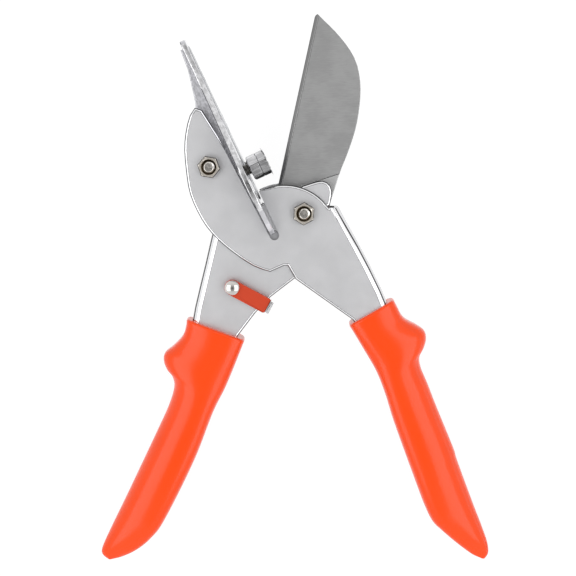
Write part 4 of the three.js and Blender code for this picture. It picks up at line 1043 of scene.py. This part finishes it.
BLADE_GRIP_OUTER = ((-0.2894, -0.2637), (-0.2998, -0.3048), (-0.3245, -0.3332), (-0.3455, -0.3507),
                    (-0.3502, -0.3698), (-0.3432, -0.392), (-0.3285, -0.4122), (-0.3246, -0.4401),
                    (-0.3388, -0.4868), (-0.3684, -0.5518), (-0.4427, -0.709), (-0.4768, -0.7793),
                    (-0.5005, -0.8293), (-0.5106, -0.8567), (-0.5066, -0.8699), (-0.4948, -0.8784))
# Half the grip's depth, and the share of it that is left at even steps from mouth to nose
GRIP_HALF_DEPTH = 12.0
GRIP_DEPTHS = (0.97, 1, 1, 0.98, 0.97, 0.98, 0.98, 0.95, 0.86, 0.62, 0.22)
print("points of the outlines:", len(ANVIL_GRIP_INNER + ANVIL_GRIP_OUTER),
      len(BLADE_GRIP_INNER + BLADE_GRIP_OUTER))

# %% [markdown]
# A few points make an outline with corners, so a smooth curve is laid through them. The stations
# then go at even steps of length along it, because even steps of its parameter would crowd the
# rings at the thumb stop, and crowded rings show as ripples in the gloss.

# %% Smooth outlines
FINE_STEPS = 2000
STATIONS = 110


def curve_value(values, where):
    """A smooth curve through evenly spaced values, read at a place from 0 to 1."""
    last = len(values) - 1
    spot = min(max(where, 0.0), 1.0) * last
    i = min(int(spot), last - 1)
    t = spot - i
    a, b, c, d = (values[min(max(k, 0), last)] for k in (i - 1, i, i + 1, i + 2))
    return 0.5 * (2 * b + (c - a) * t + (2 * a - 5 * b + 4 * c - d) * t * t
                  + (3 * b - a - 3 * c + d) * t ** 3)


def spaced(points, count):
    """Points at even steps of length along the smooth curve through some points in plan."""
    fine = [Vector((curve_value([p[0] for p in points], k / FINE_STEPS),
                    curve_value([p[1] for p in points], k / FINE_STEPS)))
            for k in range(FINE_STEPS + 1)]
    reach = [0.0]
    for before, after in zip(fine, fine[1:]):
        reach.append(reach[-1] + (after - before).length)
    picked, k = [], 0
    for i in range(count + 1):
        target = reach[-1] * i / count
        while k < len(fine) - 1 and reach[k] < target:
            k += 1
        picked.append(fine[k])
    return picked


first, last = spaced(ANVIL_GRIP_OUTER, STATIONS)[::STATIONS]
print("outer edge of a grip, end to end, mm:", round((last - first).length * LEVER_LENGTH, 1))

# %% [markdown]
# The rings. The mouth ends in a rolled lip, so its first rings follow a quarter of a circle
# inwards. Each ring is a rounded box: the side with the thumb stop falls away gently and the palm
# side is fuller, so one broad highlight runs down each grip. A faint crease along the right-hand
# grip is where the two halves of its mould met.

# %% Grips
RING = 96
LIP_RADIUS, LIP_STEPS, NOSE_INSET = 1.3, 6, 0.3
# How full a ring's corners are: 2 is an ellipse and more is boxier
THUMB_SIDE, PALM_SIDE, AT_MOUTH, IN_PLAN = 2.1, 4.2, 5, 2.6
MOUTH_FADE = 8
CROWN_SHIFT, CREASE_AT = 0.22, 33.75


def grip_stations():
    """Where each ring lies from mouth to nose, how far it is drawn in, and how far down it lies."""
    lip = [math.pi / 2 * k / LIP_STEPS for k in range(LIP_STEPS + 1)]
    return ([(0.0, LIP_RADIUS * (1 - math.sin(t)), LIP_RADIUS * (1 - math.cos(t))) for t in lip]
            + [(i / STATIONS, 0.0, 0.0) for i in range(2, STATIONS + 1)]
            + [(1.0, NOSE_INSET, 0.0)])


def next_ring(bm, ring):
    """Draws a ring of points out once, and gives the new ring in the same order."""
    held = set(ring)
    edges = dict.fromkeys(e for v in ring for e in v.link_edges if e.other_vert(v) in held)
    grown = set(bmesh.ops.extrude_edge_only(bm, edges=list(edges))["geom"])
    return [next(e.other_vert(v) for e in v.link_edges if e.other_vert(v) in grown) for v in ring]


def ring_point(turn, where, crease):
    """Where a point of a ring goes, in plan and upwards, as shares of the ring's half sizes."""
    cosine, sine = math.cos(turn), math.sin(turn)
    fullness = THUMB_SIDE if cosine > 0 else PALM_SIDE
    fullness += (AT_MOUTH - fullness) * (1 - where) ** MOUTH_FADE
    outward = math.copysign(abs(cosine) ** (2 / IN_PLAN), cosine)
    upward = math.copysign(abs(sine) ** (2 / fullness), sine)
    outward -= CROWN_SHIFT * (1 - outward ** 2)
    if cosine > 0 and abs(abs(math.degrees(turn)) - CREASE_AT) < 2:
        upward -= math.copysign(crease, sine)
    return outward, upward


def loft_grip(name, node, inner_shares, outer_shares, body, crease):
    """A grip's skin, drawn out ring by ring from its mouth to its nose."""
    inner, outer = spaced(inner_shares, STATIONS), spaced(outer_shares, STATIONS)
    bm = bmesh.new()
    ring = bmesh.ops.create_circle(bm, segments=RING, radius=1.0, cap_ends=False)["verts"]
    turns = [math.atan2(v.co.y, v.co.x) for v in ring]
    for n, (where, inset, down) in enumerate(grip_stations()):
        if n:
            ring = next_ring(bm, ring)
        i = round(where * STATIONS)
        near, far = inner[i] * LEVER_LENGTH, outer[i] * LEVER_LENGTH
        centre, half = (near + far) / 2, (far - near) / 2
        along = Vector((half.y, -half.x)).normalized()
        along *= -1 if along.y > 0 else 1
        rise = GRIP_HALF_DEPTH * curve_value(GRIP_DEPTHS, where) - inset
        for vert, turn in zip(ring, turns):
            outward, upward = ring_point(turn, where, crease / rise)
            plan = centre + half * (1 - inset / half.length) * outward + along * down
            vert.co = PIVOT + Vector((plan.x, plan.y, rise * upward)) * MM
    bmesh.ops.holes_fill(bm, edges=[e for e in bm.edges if e.is_boundary], sides=0)
    bmesh.ops.recalc_face_normals(bm, faces=bm.faces)
    return make_piece(name, bm, (orange_vinyl,), body, "grip_plastic", node)


loft_grip("dipped_anvil_grip", "anvil_grip", ANVIL_GRIP_INNER, ANVIL_GRIP_OUTER, "anvil_side", 0.3)
loft_grip("dipped_blade_grip", "blade_grip", BLADE_GRIP_INNER, BLADE_GRIP_OUTER, "blade_side", 0.0)

# %% [markdown]
# Last, the colours are shown as they are written, without a film look.

# %% Colour view
bpy.context.scene.view_settings.view_transform = "Standard"
print("view transform:", bpy.context.scene.view_settings.view_transform)
